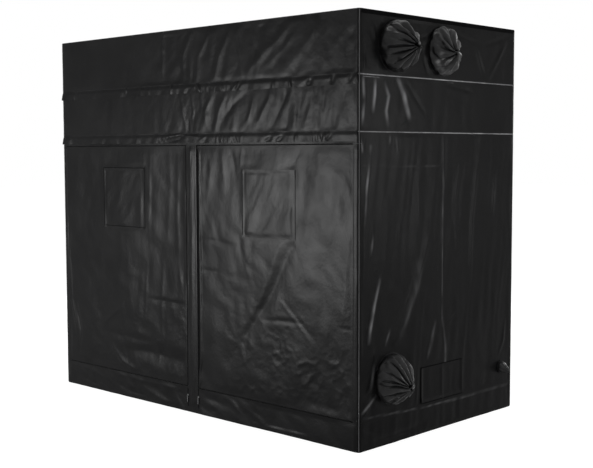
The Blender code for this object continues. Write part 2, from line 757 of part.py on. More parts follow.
def build_door(side, canvas, film):
    """A door hinged on its corner strip, with half a zip on its other edges, a window and the window's cover."""
    way = side_sign(side)
    outer = door_limits()[1]
    line = [(outer, HEAD_Z), (CENTRE_STRIP_HALF, HEAD_Z), (CENTRE_STRIP_HALF, SKIRT_HEIGHT), (outer, SKIRT_HEIGHT)]
    shape = merged(door_sheet(), zip_sweep(line, 1), hook_strips())
    hinge = (way * HINGE_X, -HALF_DEPTH, 0)
    door = put(side + "_door", on_side(shape, side), canvas, hinge)
    put(side + "_window", on_side(window_film(), side), film, hinge, door)

    back = -HALF_DEPTH - HOOK_STRIP - SEAM_GAP
    half = WINDOW_FLAP_WIDTH / 2
    foot = (WINDOW_CENTRE_X - half, back - CLOTH, WINDOW_HINGE_Z)
    flap = block(foot, (WINDOW_CENTRE_X + half, back, WINDOW_HINGE_Z + WINDOW_FLAP_HEIGHT))
    flap_hinge = (way * WINDOW_CENTRE_X, back - CLOTH, WINDOW_HINGE_Z)
    put(side + "_window_flap", on_side(flap, side), canvas, flap_hinge, door)


def slider_body():
    """A slider for a zip that runs along Z: a plate in front, one behind, the web between and the bridge."""
    half = SLIDER_WIDTH / 2
    web = SLIDER_WEB / 2
    front = -SEAM_GAP
    back = CLOTH + TAPE_THICKNESS + COIL_PROUD + SEAM_GAP
    right = [
        (half, front - SLIDER_PLATE),
        (half, front),
        (web, front),
        (web, back),
        (half, back),
        (half, back + SLIDER_PLATE),
    ]
    outline = right + [(-x, y) for x, y in right[::-1]]
    body = prism([(x, y, -SLIDER_LENGTH / 2) for x, y in outline], (0, 0, SLIDER_LENGTH))
    face = front - SLIDER_PLATE
    crown = face - BRIDGE_HEIGHT
    reach = BRIDGE_SPAN / 2
    inside = reach - BRIDGE_BAR
    arch = [
        (-reach, face + SLIDER_PLATE / 2),
        (-reach, crown - BRIDGE_BAR / 2),
        (reach, crown - BRIDGE_BAR / 2),
        (reach, face + SLIDER_PLATE / 2),
        (inside, face + SLIDER_PLATE / 2),
        (inside, crown + BRIDGE_BAR / 2),
        (-inside, crown + BRIDGE_BAR / 2),
        (-inside, face + SLIDER_PLATE / 2),
    ]
    bridge = prism([(x, y, -BRIDGE_BAR / 2) for x, y in arch], (0, 0, BRIDGE_BAR))
    return merged(body, bridge), crown


def pull_tab():
    """A pull that hangs from the bridge, with an eye round its crown."""
    half = PULL_WIDTH / 2
    eye = rod((-half, 0, 0), (1, 0, 0), PULL_WIDTH, PULL_EYE_RADIUS, PULL_EYE_SIDES)
    low = (-half, -PULL_THICKNESS / 2, -PULL_LENGTH)
    plate = block(low, (half, PULL_THICKNESS / 2, -PULL_EYE_BORE))
    bore = rod((-PULL_WIDTH, 0, 0), (1, 0, 0), 2 * PULL_WIDTH, PULL_EYE_BORE, PULL_EYE_SIDES)
    return cut(merged(eye, plate), bore)


def build_slider(side, metal):
    """A slider parked low on the zip, below the door, with its pull."""
    shape, crown = slider_body()
    park = Vector((side_sign(side) * CENTRE_STRIP_HALF, -HALF_DEPTH, SLIDER_PARK_Z))
    bmesh.ops.translate(shape, vec=park, verts=shape.verts)
    slider = put(side + "_slider", shape, metal, park)
    pivot = park + Vector((0, crown, 0))
    tab = pull_tab()
    bmesh.ops.translate(tab, vec=pivot, verts=tab.verts)
    put(side + "_pull", tab, metal, pivot, slider)


def build_vents(side, canvas, mesh_cloth):
    """A low vent in an end wall: mesh inside, and a cover outside that is sewn along its upper edge."""
    half = VENT_WIDTH / 2 - VENT_BORDER + VENT_MESH_LAP
    rise = VENT_HEIGHT / 2 - VENT_BORDER + VENT_MESH_LAP
    inside = HALF_LENGTH - CLOTH - SEAM_GAP
    mesh = block((inside - VENT_MESH, -half, VENT_CENTRE_Z - rise), (inside, half, VENT_CENTRE_Z + rise))
    put(side + "_vent_mesh", on_side(mesh, side), mesh_cloth)
    face = HALF_LENGTH + SEAM_GAP
    low = (face, -VENT_WIDTH / 2, VENT_HINGE_Z - VENT_HEIGHT)
    flap = block(low, (face + CLOTH, VENT_WIDTH / 2, VENT_HINGE_Z))
    hinge = (side_sign(side) * (face + CLOTH), 0, VENT_HINGE_Z)
    put(side + "_vent_flap", on_side(flap, side), canvas, hinge)


def sock_ring(share, radius, reach, droop, pleats, start):
    """One ring of a sock, in folds that deepen towards the gather."""
    along, girth, depth = share
    ring = []
    for k in range(2 * pleats):
        turn = (k + 0.5) * math.pi / pleats
        size = radius * girth * (1 + (depth if k % 2 else -depth))
        ring.append((start + reach * along, size * math.cos(turn), size * math.sin(turn) - droop * along * along))
    return ring


def sock(bore, collar, rim, reach, droop, pleats):
    """A collar round the port and a cloth tube drawn shut on it: pleated dome, tight neck and short frill."""
    flange = [sock_ring((0, 1, 0), bore + collar, 0, 0, pleats, place) for place in (0, COLLAR_THICKNESS)]
    outer = [sock_ring(share, bore + rim, reach, droop, pleats, COLLAR_THICKNESS) for share in SOCK_SHARES]
    lining = [sock_ring(share, bore, reach, droop, pleats, 0) for share in SOCK_LINING_SHARES]
    return skin(lining[::-1] + flange + outer)


def build_ports(canvas):
    """Three duct ports and one cable port in each end, all drawn shut."""
    duct = sock(PORT_RADIUS, COLLAR_WIDTH, SOCK_RIM, SOCK_REACH, SOCK_DROOP, SOCK_PLEATS)
    cable = sock(
        CABLE_PORT_RADIUS, CABLE_COLLAR_WIDTH, CABLE_SOCK_RIM, CABLE_SOCK_REACH, CABLE_SOCK_DROOP, CABLE_SOCK_PLEATS
    )
    ports = (
        ("front_duct_sock", duct, UPPER_PORT_FRONT_Y, UPPER_PORT_Z),
        ("middle_duct_sock", duct, UPPER_PORT_MIDDLE_Y, UPPER_PORT_Z),
        ("low_duct_sock", duct, LOWER_PORT_Y, LOWER_PORT_Z),
        ("cable_sock", cable, CABLE_PORT_Y, CABLE_PORT_Z),
    )
    for name, shape, y, z in ports:
        for side in ("left", "right"):
            one = shape.copy()
            bmesh.ops.translate(one, vec=(HALF_LENGTH + SEAM_GAP, y, z), verts=one.verts)
            put(side + "_" + name, on_side(one, side), canvas)
    duct.free()
    cable.free()


def main():
    """Builds every piece."""
    for item in list(bpy.data.objects):
        bpy.data.objects.remove(item)
    steel = make_material("white_steel", (0.78, 0.79, 0.80), 0.35, metallic=0.2)
    canvas = make_material("black_canvas", (0.022, 0.022, 0.024), 0.62)
    metal = make_material("zip_metal", (0.32, 0.32, 0.33), 0.35, metallic=1.0)
    film = make_material("window_film", (0.10, 0.32, 0.16), 0.12, alpha=0.5)
    mesh_cloth = make_material("vent_mesh", (0.02, 0.02, 0.02), 0.70)
    sheet = make_material("tray_sheet", (0.60, 0.61, 0.62), 0.45)

    build_posts(steel)
    build_rails(steel)
    build_hanging_bars(steel)
    build_roof_and_floor(canvas)
    build_canopy(canvas)
    build_extension(canvas)
    build_walls(canvas)
    build_door_surround(canvas)
    build_spill_tray(sheet)
    build_storm_flap("upper_storm_flap", UPPER_SEAM_Z, canvas)
    build_storm_flap("lower_storm_flap", WALL_HEIGHT, canvas)
    for side in ("left", "right"):
        build_door(side, canvas, film)
        build_slider(side, metal)
        build_vents(side, canvas, mesh_cloth)
    build_ports(canvas)


main()
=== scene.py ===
import math

import bpy
import numpy as np
from mathutils import Matrix, Vector


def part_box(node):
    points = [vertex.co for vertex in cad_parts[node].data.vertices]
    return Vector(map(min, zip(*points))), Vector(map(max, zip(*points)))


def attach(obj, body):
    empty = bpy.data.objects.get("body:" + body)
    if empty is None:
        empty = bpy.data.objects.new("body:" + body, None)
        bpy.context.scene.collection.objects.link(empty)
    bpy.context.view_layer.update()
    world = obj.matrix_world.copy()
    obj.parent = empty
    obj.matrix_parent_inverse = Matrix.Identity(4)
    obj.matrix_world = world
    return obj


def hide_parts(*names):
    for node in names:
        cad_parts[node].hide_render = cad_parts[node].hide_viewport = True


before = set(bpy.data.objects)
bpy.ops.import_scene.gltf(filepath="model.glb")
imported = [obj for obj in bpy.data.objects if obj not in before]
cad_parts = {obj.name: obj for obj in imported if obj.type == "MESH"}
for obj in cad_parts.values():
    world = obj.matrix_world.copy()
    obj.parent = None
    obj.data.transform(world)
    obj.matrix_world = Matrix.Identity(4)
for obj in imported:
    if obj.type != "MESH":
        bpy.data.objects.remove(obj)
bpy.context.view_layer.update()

# The photograph's frame and the camera that took it, in pixels, degrees and metres
PHOTO_WIDTH_PX = 593
PHOTO_HEIGHT_PX = 468
FOCAL_PX = 1086.46
CAMERA_YAW = 43.468
CAMERA_PITCH = -4.343
CAMERA_ROLL = -0.159
CAMERA_PLACE = Vector((5.1484, -5.2389, 1.6508))
SENSOR_MM = 36.0


def between(one, two, axis):
    """The middle of the gap between two nodes along an axis."""
    return (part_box(one)[1][axis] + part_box(two)[0][axis]) / 2


def middle_of(node, axis):
    """The middle of a node along an axis."""
    return between(node, node, axis)


def half_of(node, axis):
    """Half the size of a node along an axis."""
    low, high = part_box(node)
    return (high[axis] - low[axis]) / 2


# Places and sizes that the frame gives
HALF_X, HALF_Y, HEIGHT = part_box("roof_panel")[1]
SEAM_GAP = 0.0003
POST_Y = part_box("canopy_right")[1].y + SEAM_GAP
CORNER = HALF_Y - POST_Y
CORNER_ARC = CORNER * math.pi / 2
POLE_DEPTH = CORNER      # how far in from the cloth the rails' axes lie
POST_X = HALF_X - CORNER
ENDS = (-POST_Y + SEAM_GAP, POST_Y - SEAM_GAP)
UPPER_SEAM = between("extension_right", "canopy_right", 2)
LOWER_SEAM = between("right_wall", "extension_right", 2)
HEAD = between("right_door", "header_strip", 2)
SILL = between("front_skirt", "right_door", 2)
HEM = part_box("centre_strip")[0].z
HANGING_X = middle_of("right_hanging_bar", 0)
HINGE_X = between("right_door", "right_corner_strip", 0)
CENTRE_HALF = middle_of("right_slider", 0)
WINDOW_X, WINDOW_Z = (middle_of("right_window_flap", axis) for axis in (0, 2))
WINDOW_HALF, WINDOW_RISE = (half_of("right_window_flap", axis) for axis in (0, 2))
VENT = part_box("right_vent_flap")
VENT_HALF = VENT[1].y
VENT_Z, VENT_RISE = middle_of("right_vent_flap", 2), half_of("right_vent_flap", 2)

# Cloth, seams and zips
CLOTH = 0.0012
PANE = 0.0005            # how thick the window film and the net are
PANE_INSET = 0.012       # how far they lie in from the edge of their cover
ZIP_SLOT = 0.0035
ZIP_HALF = 0.0016        # from the middle of a zip to the middle of a row of its teeth
TAPE_WIDTH = 0.014
TAPE = 0.0008
TOOTH_PITCH = 0.0026
TOOTH_LENGTH = 0.0015
TOOTH_WIDTH = 0.0024
TOOTH_DEPTH = 0.0018
STITCH_PITCH = 0.0060
STITCH_LENGTH = 0.0042
STITCH_WIDTH = 0.0007
STITCH_DEPTH = 0.0005
PIPING_RADIUS = 0.0026
COLLAR = 0.023           # the width of the ring that holds a duct sock
CABLE_COLLAR = 0.012
ROOF_HEM = 0.025
VENT_BORDER = 0.022
WINDOW_BORDER = 0.024
HEM_TAPE = 0.013
EDGE_WIDTH = 0.0044
THREAD_PITCH = 0.0014
DIAMOND_PITCH = 0.028
POLE_RADIUS = 0.012

# Grid cells: on the faces that the photograph shows, on the others, on flat sheets and on trims
FINE_CELL = 0.009
COARSE_CELL = 0.016
FLAT_CELL = 0.025
COVER_CELL = 0.0072
RING_CELL = 0.03
PIPING_CELL = 0.05
COLLAR_STEPS = 96

# Which way the front faces, half the width of the studio's floor and how bright its surroundings are
FORWARD = (0, -1, 0)
FLOOR_HALF = 40.0
WORLD_LEVEL = 0.30

# Two tones that a colour wanders between, the pale grey of the painted highlight along fold crests and the
# colour mix's sockets
TONE_STOPS = (0.32, 0.68)
PAINTED_SHEEN_GREY = (0.22, 0.22, 0.225, 1)
MIX_ONE, MIX_TWO, MIX_RESULT = 6, 7, 2


def camera_axes():
    """Where the camera's right, up and ahead point."""
    yaw, pitch, roll = (math.radians(a) for a in (CAMERA_YAW, CAMERA_PITCH, CAMERA_ROLL))
    ahead = Vector((-math.sin(yaw) * math.cos(pitch), math.cos(yaw) * math.cos(pitch), math.sin(pitch)))
    level = Vector((math.cos(yaw), math.sin(yaw), 0))
    above = level.cross(ahead)
    right = level * math.cos(roll) + above * math.sin(roll)
    return right, above * math.cos(roll) - level * math.sin(roll), ahead


def seen_on(pixel, axis, place):
    """The point of the plane axis = place that a pixel of the photograph shows."""
    right, up, ahead = camera_axes()
    across = (pixel[0] - PHOTO_WIDTH_PX / 2) / FOCAL_PX
    rise = (PHOTO_HEIGHT_PX / 2 - pixel[1]) / FOCAL_PX
    ray = ahead + right * across + up * rise
    return CAMERA_PLACE + ray * ((place - CAMERA_PLACE[axis]) / ray[axis])


def on_front(pixels):
    """Pixels of the front face as (x, z)."""
    return [tuple(seen_on(p, 1, -HALF_Y).xz) for p in pixels]


def on_side(pixels):
    """Pixels of the right-hand face as (y, z)."""
    return [tuple(seen_on(p, 0, HALF_X).yz) for p in pixels]


def node_tools(tree):
    """Ways to add a node to a tree, or to fill one that is there, and to add a sum of two values."""

    def add(node, inputs, **settings):
        if isinstance(node, str):
            node = tree.nodes.new("ShaderNode" + node)
        for key, value in settings.items():
            setattr(node, key, value)
        for key, value in inputs.items():
            if isinstance(value, bpy.types.NodeSocket):
                tree.links.new(value, node.inputs[key])
            else:
                node.inputs[key].default_value = value
        return node

    def maths(operation, one, two=0.0):
        return add("Math", {0: one, 1: two}, operation=operation).outputs["Value"]

    return add, maths


def new_material(name, dark, light, scale, detail=4.0):
    """A material whose colour wanders between two tones over the object, with what its other nodes need."""
    material = bpy.data.materials.new(name)
    material.use_nodes = True
    add, maths = node_tools(material.node_tree)
    place = add("TexCoord", {}).outputs["Object"]
    cloud = add("TexNoise", {"Vector": place, "Scale": scale, "Detail": detail})
    ramp = add("ValToRGB", {"Fac": cloud.outputs["Fac"]})
    for stop, spot, tone in zip(ramp.color_ramp.elements, TONE_STOPS, (dark, light)):
        stop.position = spot
        stop.color = (*tone, 1)
    shader = material.node_tree.nodes["Principled BSDF"]
    add(shader, {"Base Color": ramp.outputs["Color"]})
    return material, shader, add, maths, place, ramp.outputs["Color"]


def woven(name, dark, light, thread, depth, roughness, specular, rumple=0.0006):
    """Plain woven cloth: threads over and under each other and fine crumples, with a painted highlight in pale
    grey along fold crests.
    """
    material, shader, add, maths, place, colour = new_material(name, dark, light, 3.0, 8.0)
    split = add("SeparateXYZ", {"Vector": place}).outputs
    along = maths("ADD", split["X"], split["Y"])
    waves = [maths("SINE", maths("MULTIPLY", way, 2 * math.pi / thread)) for way in (along, split["Z"])]
    threads = add("Bump", {"Strength": 0.35, "Distance": depth, "Height": maths("MULTIPLY", *waves)})
    ripple = add("TexNoise", {"Vector": place, "Scale": 38.0, "Detail": 6.0, "Roughness": 0.55})
    crease = add("Bump", {"Strength": 0.5, "Distance": rumple * 10, "Height": ripple.outputs["Fac"],
                          "Normal": threads.outputs["Normal"]})
    sheen = add("TexNoise", {"Vector": place, "Scale": 7.0, "Detail": 3.0})
    gloss = add("MapRange", {"Value": sheen.outputs["Fac"], "To Min": roughness - 0.07,
                             "To Max": roughness + 0.09})
    # Painted highlight: pale grey mixed into the colour along fold crests, by a mesh attribute
    streak_mask = add("Attribute", {}, attribute_name="wear")
    streaked_colour = add("Mix", {"Factor": streak_mask.outputs["Fac"], MIX_ONE: colour, MIX_TWO: PAINTED_SHEEN_GREY}, data_type="RGBA")
    add(shader, {"Base Color": streaked_colour.outputs[MIX_RESULT], "Roughness": gloss.outputs["Result"],
                 "Specular IOR Level": specular, "Normal": crease.outputs["Normal"]})
    return material


def embossed_lining():
    """Silver lining with a pressed diamond pattern."""
    tones = (0.58, 0.59, 0.61), (0.74, 0.75, 0.77)
    material, shader, add, maths, place, _ = new_material("silver_lining", *tones, 5.0)
    split = add("SeparateXYZ", {"Vector": place}).outputs
    along = maths("ADD", split["X"], split["Y"])
    slants = [maths(operation, along, split["Z"]) for operation in ("ADD", "SUBTRACT")]
    ridges = [maths("PINGPONG", slant, DIAMOND_PITCH / 2) for slant in slants]
    bump = add("Bump", {"Strength": 0.8, "Distance": 1.0, "Height": maths("MINIMUM", *ridges)})
    add(shader, {"Roughness": 0.30, "Metallic": 0.85, "Normal": bump.outputs["Normal"]})
    return material


def speckled(name, dark, light, roughness, metallic=0.0, scale=60.0, grain=0.0002, specular=0.5):
    """A coated, cast or moulded surface with a fine grain."""
    material, shader, add, _, place, _ = new_material(name, dark, light, scale / 6)
    grit = add("TexNoise", {"Vector": place, "Scale": scale * 12, "Detail": 3.0})
    bump = add("Bump", {"Strength": 0.3, "Distance": grain, "Height": grit.outputs["Fac"]})
    add(shader, {"Roughness": roughness, "Metallic": metallic, "Specular IOR Level": specular,
                 "Normal": bump.outputs["Normal"]})
    return material


def netting(name, colour, pitch):
    """Cloth mesh, open between its threads."""
    material, shader, add, maths, place, _ = new_material(name, colour, tuple(c * 1.6 for c in colour), 20.0)
    split = add("SeparateXYZ", {"Vector": place}).outputs
    waves = [maths("PINGPONG", split[way], pitch / 2) for way in ("Y", "Z")]
    gaps = [maths("GREATER_THAN", wave, pitch * 0.18) for wave in waves]
    add(shader, {"Roughness": 0.6, "Alpha": maths("SUBTRACT", 1.0, maths("MULTIPLY", *gaps))})
    return material


def clear_film():
    """Green-tinted window film with slight ripples."""
    tones = (0.05, 0.22, 0.08), (0.09, 0.30, 0.12)
    material, shader, add, _, place, _ = new_material("window_film", *tones, 4.0)
    ripple = add("TexNoise", {"Vector": place, "Scale": 14.0, "Detail": 2.0})
    bump = add("Bump", {"Strength": 0.4, "Distance": 0.004, "Height": ripple.outputs["Fac"]})
    add(shader, {"Roughness": 0.12, "Alpha": 0.72, "Normal": bump.outputs["Normal"]})
    return material


def grey(level, blue):
    """A nearly neutral shade."""
    return (level, level, blue)


CANVAS = woven("black_canvas", grey(0.0034, 0.0035), grey(0.0048, 0.0049), THREAD_PITCH, 0.00004, 0.31, 0.022,
               0.00015)
WEBBING = woven("black_webbing", grey(0.0055, 0.0057), grey(0.0085, 0.0087), 0.0022, 0.00010, 0.50, 0.03)
# Near-black matte tape; on cover edges and the right door's zip its dark tone paints shadow lines
EDGE_TAPE = woven("black_edge_tape", grey(0.0016, 0.0017), grey(0.0030, 0.0031), 0.0016, 0.0001, 0.75, 0.01)
# Real corner piping, coloured pale grey as a painted highlight of the sheen along each corner
PIPING_WITH_SHEEN = woven("piping_painted_sheen", grey(0.035, 0.036), grey(0.075, 0.076), 0.0016, 0.0005, 0.50, 0.10)
SOCK_CLOTH = woven("black_sock_cloth", grey(0.006, 0.0062), grey(0.030, 0.0304), THREAD_PITCH, 0.00004, 0.30,
                   0.15, 0.00010)
LINING = embossed_lining()
FLOOR_CLOTH = woven("floor_cloth", grey(0.014, 0.015), grey(0.022, 0.023), 0.0018, 0.0006, 0.5, 0.2)
ZIP_TAPE = woven("zip_tape", grey(0.060, 0.062), grey(0.100, 0.102), 0.0012, 0.0003, 0.6, 0.2)
ZIP_TEETH = speckled("zip_teeth", grey(0.10, 0.105), grey(0.44, 0.45), 0.40, 0.0, 36.0, specular=0.3)
DARK_TEETH = speckled("dark_zip_teeth", grey(0.0030, 0.0031), grey(0.0060, 0.0062), 0.6, 0.0, 90.0,
                      specular=0.04)
THREAD = speckled("sewing_thread", grey(0.014, 0.015), grey(0.028, 0.029), 0.55, 0.0, 200.0, specular=0.2)
STEEL = speckled("white_steel", (0.70, 0.71, 0.72), (0.80, 0.80, 0.81), 0.34, 0.0, 40.0, 0.0001)
ZIP_METAL = speckled("zip_metal", grey(0.012, 0.0125), grey(0.024, 0.0245), 0.52, 0.85, 120.0, 0.0001)
TRAY = speckled("tray_sheet", (0.50, 0.51, 0.52), (0.62, 0.63, 0.64), 0.42, 0.0, 20.0, 0.0003)
NET = netting("vent_net", grey(0.014, 0.015), 0.0030)
FILM = clear_film()

LATTICE = 256


def noise(x, y, seed):
    """Smooth noise of about -1 to 1 over a plane, with one swell to a unit."""
    turn = np.random.RandomState(seed).rand(LATTICE, LATTICE) * 2 * math.pi
    east, north = np.cos(turn), np.sin(turn)
    i, j = np.floor(x).astype(int), np.floor(y).astype(int)
    fx, fy = x - i, y - j
    wx, wy = (f * f * f * (f * (f * 6 - 15) + 10) for f in (fx, fy))

    def corner(di, dj):
        a, b = (i + di) % LATTICE, (j + dj) % LATTICE
        return east[a, b] * (fx - di) + north[a, b] * (fy - dj)

    low = corner(0, 0) * (1 - wx) + corner(1, 0) * wx
    high = corner(0, 1) * (1 - wx) + corner(1, 1) * wx
    return 1.5 * (low * (1 - wy) + high * wy)


def fade(value, start, length):
    """Rises smoothly from 0 to 1 over a length."""
    share = np.clip((value - start) / length, 0, 1)
    return share * share * (3 - 2 * share)


def slanted(u, z, angle, spacing, length):
    """How far across and along folds that run at an angle from the vertical, in degrees."""
    lean = math.radians(angle)
    across = (u * math.cos(lean) - z * math.sin(lean)) / spacing
    return across, (u * math.sin(lean) + z * math.cos(lean)) / length


def creases(u, z, seed, angle, spacing, length, sharp=2.0):
    """Crests at an angle, of about 0 to 1."""
    across, along = slanted(u, z, angle, spacing, length)
    wander = 0.35 * noise(across * 0.6 + 7, along * 2.1, seed + 1)
    return np.clip(1 - np.abs(noise(across + wander, along, seed)) * 1.6, 0, 1) ** sharp


def swells(u, z, seed, angle, spacing, length):
    """Soft folds at an angle, of about -1 to 1."""
    across, along = slanted(u, z, angle, spacing, length)
    wander = 0.6 * noise(across * 0.4 + 7, along * 1.7, seed + 1)
    return noise(across + wander, along, seed)


def crumple(u, z, seed, size):
    """Short crests that cross each other every way."""
    total = 0
    for k, (angle, share) in enumerate(((25, 1.0), (-50, 0.9), (80, 0.7))):
        total = total + share * creases(u, z, seed + 10 * k, angle, size * share, size * 1.6, 2.5)
    return total / 2.6


def crest(u, z, points, width, height):
    """One fold along a line of points, which dies away at both ends."""
    nearest = np.full(u.shape, 1e9)
    gone = np.zeros(u.shape)
    start = 0.0
    for one, two in zip(points, points[1:]):
        du, dz = two[0] - one[0], two[1] - one[1]
        long = math.hypot(du, dz)
        share = np.clip(((u - one[0]) * du + (z - one[1]) * dz) / long ** 2, 0, 1)
        away = np.hypot(u - one[0] - share * du, z - one[1] - share * dz)
        nearer = away < nearest
        nearest = np.where(nearer, away, nearest)
        gone = np.where(nearer, start + share * long, gone)
        start += long
    taper = np.sin(np.pi * (0.06 + 0.88 * gone / start)) ** 0.7
    core = np.exp(-np.abs(nearest / width) ** 1.6)
    shoulder = np.exp(-(nearest / (2.4 * width)) ** 2)
    return height * taper * (core - 0.30 * shoulder)


def crests(u, z, folds):
    """A set of folds: each one's line of points, its half width and its height, in metres."""
    return sum(crest(u, z, *fold) for fold in folds)


def paint_streak(u, z, points, width, strength):
    """How strongly a painted highlight lies along one fold, from 0 to 1."""
    along = crest(u, z, points, width, 1.0)
    patchy = 0.70 + 0.9 * noise(u / 0.05, z / 0.09, 601)
    return strength * np.clip(along * patchy, 0, 1)


def held_edges(u, z, u_limits, z_limits, margin_u, margin_z):
    """1 in the middle of a sheet and 0 along its sewn edges."""
    sideways = np.minimum(u - u_limits[0], u_limits[1] - u)
    upright = np.minimum(z - z_limits[0], z_limits[1] - z)
    return fade(sideways, 0, margin_u) * fade(upright, 0, margin_z)


def front_place(u):
    """Point and outward direction in plan, at a distance along the front and round its two corners."""
    turn = np.clip(np.abs(u) - POST_X, 0, None) / CORNER
    way = np.sign(u)
    x = np.clip(u, -POST_X, POST_X) + way * CORNER * np.sin(turn)
    return x, -POST_Y - CORNER * np.cos(turn), way * np.sin(turn), -np.cos(turn)


def rear_place(u):
    """The same along the rear."""
    x, y, east, north = front_place(u)
    return x, -y, east, -north


def right_place(u):
    """The same along the right-hand side, from front to rear."""
    return HALF_X + 0 * u, u, 1 + 0 * u, 0 * u


def left_place(u):
    """The same along the left-hand side, from front to rear."""
    return -HALF_X + 0 * u, u, -1 + 0 * u, 0 * u


# Each side's name, the sign of its x, its face and its grid cell
SIDES = (("right", 1, right_place, FINE_CELL), ("left", -1, left_place, COARSE_CELL))


def even(low, high, cell):
    """Places from low to high, a cell apart or a little less."""
    return np.linspace(low, high, max(2, math.ceil((high - low) / cell) + 1))


def round_corners(cell):
    """Places along the front or rear, closer together round its corners."""
    turn = np.linspace(0, CORNER_ARC, 7)[1:]
    return np.concatenate([-(POST_X + turn)[::-1], even(-POST_X, POST_X, cell), POST_X + turn])


def on_way(places, way):
    """Places on the right-hand half, mirrored to the left if way is -1."""
    return places if way > 0 else -places[::-1]


def add_object(name, points, faces, materials, slots=None, smooth=True, body="root"):
    """A mesh object that rides on a body."""
    mesh = bpy.data.meshes.new(name)
    mesh.from_pydata(np.asarray(points).tolist(), [], [list(face) for face in faces])
    for material in materials:
        mesh.materials.append(material)
    if slots is not None:
        mesh.polygons.foreach_set("material_index", np.asarray(slots, dtype=np.int32))
    if smooth:
        mesh.shade_smooth()
        mesh.set_sharp_from_angle(angle=math.radians(50))
    item = bpy.data.objects.new(name, mesh)
    bpy.context.scene.collection.objects.link(item)
    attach(item, body)
    return item


def shell(outer, inner, flip=False, keep=None):
    """Points, faces and slots of a sheet with two sides, from its two grids, and which points it kept."""
    nu, nz = outer.shape[:2]
    if keep is None:
        keep = np.ones((nu - 1, nz - 1), dtype=bool)
    number = np.arange(nu * nz).reshape(nu, nz)
    offset = nu * nz
    a, b, c, d = number[:-1, :-1], number[1:, :-1], number[1:, 1:], number[:-1, 1:]
    face = np.stack([a[keep], b[keep], c[keep], d[keep]], axis=1)
    back = face[:, ::-1] + offset
    wide = np.pad(keep, 1)
    rims = []
    sides = ((a, b, wide[1:-1, :-2]), (b, c, wide[2:, 1:-1]), (c, d, wide[1:-1, 2:]), (d, a, wide[:-2, 1:-1]))
    for one, two, beside in sides:
        edge = keep & ~beside
        rims.append(np.stack([one[edge], one[edge] + offset, two[edge] + offset, two[edge]], axis=1))
    rim = np.concatenate(rims)
    faces = np.concatenate([face, back, rim])
    if flip:
        faces = faces[:, ::-1]
    slots = np.concatenate([np.zeros(len(face)), np.ones(len(back)), np.zeros(len(rim))])
    points = np.concatenate([outer.reshape(-1, 3), inner.reshape(-1, 3)])
    used = np.unique(faces)
    renumber = np.zeros(len(points), dtype=int)
    renumber[used] = np.arange(len(used))
    return points[used], renumber[faces], slots, used


def add_shell(name, outer, inner, front, back, flip=False):
    """A sheet with two sides that has no holes."""
    points, faces, slots, _ = shell(outer, inner, flip)
    return add_object(name, points, faces, [front, back], slots)


def carried(away):
    """How far in cloth may go, at a distance from the axis of the nearest pole that it lies on."""
    return -(SEAM_GAP + 0.5 * np.clip(away - POLE_RADIUS, 0, None))


def lowest(place, u, z):
    """How far in the cloth of a face may go: it lies on the posts and rails behind it."""
    if place in (front_place, rear_place):
        posts = np.minimum(np.abs(u), np.abs(np.abs(u) - POST_X))
    else:
        posts = np.abs(np.abs(u) - POST_Y)
    rails = np.minimum(np.abs(z - POLE_DEPTH), np.abs(HEIGHT - POLE_DEPTH - z))
    return carried(np.minimum(posts, rails))


def panel(name, place, us, zs, relief, body="root", holes=(), front=CANVAS, back=LINING, thick=CLOTH,
          warp=None, free=False, wear=()):
    """A sheet of cloth along a face, from its grid, relief, holes and folds that get a painted highlight."""
    u, z = np.meshgrid(us, zs, indexing="ij")
    keep = np.ones((len(us) - 1, len(zs) - 1), dtype=bool)
    middle_u = (us[:-1, None] + us[1:, None]) / 2 + 0 * zs[None, 1:]
    middle_z = (zs[None, :-1] + zs[None, 1:]) / 2 + 0 * us[1:, None]
    for kind, cu, cz, ru, rz in holes:
        if kind == "round":
            keep &= np.hypot(middle_u - cu, middle_z - cz) > ru
            away = np.hypot(u - cu, z - cz)
            near = np.abs(away - ru) < (us[len(us) // 2 + 1] - us[len(us) // 2]) * 0.75
            scale = np.where(near, ru / np.maximum(away, 1e-6), 1)
            u, z = cu + (u - cu) * scale, cz + (z - cz) * scale
        else:
            keep &= (np.abs(middle_u - cu) > ru) | (np.abs(middle_z - cz) > rz)
    height = relief(u, z)
    if not free:
        height = np.maximum(height, lowest(place, u, z))
    if warp:
        u = warp(u, z)
    x, y, east, north = place(u)
    outer, inner = (np.stack([x + east * h, y + north * h, z], axis=-1) for h in (height, height - thick))
    points, faces, slots, used = shell(outer, inner, place in (rear_place, left_place), keep)
    item = add_object(name, points, faces, [front, back], slots, body=body)
    # Painted highlight streaks along fold crests, kept on the mesh for its material
    if wear:
        streak_level = sum(paint_streak(u, z, *fold) for fold in wear).reshape(-1)
        streak_level = np.concatenate([streak_level, 0 * streak_level])[used]
        item.data.attributes.new("wear", "FLOAT", "POINT").data.foreach_set("value", streak_level)
    return item


def cloth(name, node, place, us, zs, relief, held, rests_on, area=None, **more):
    """A sheet of cloth in the place of a node. Its cut is its grid's size; its area argument is not used."""
    piece = panel(name, place, us, zs, relief, **more)
    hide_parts(node)
    return piece


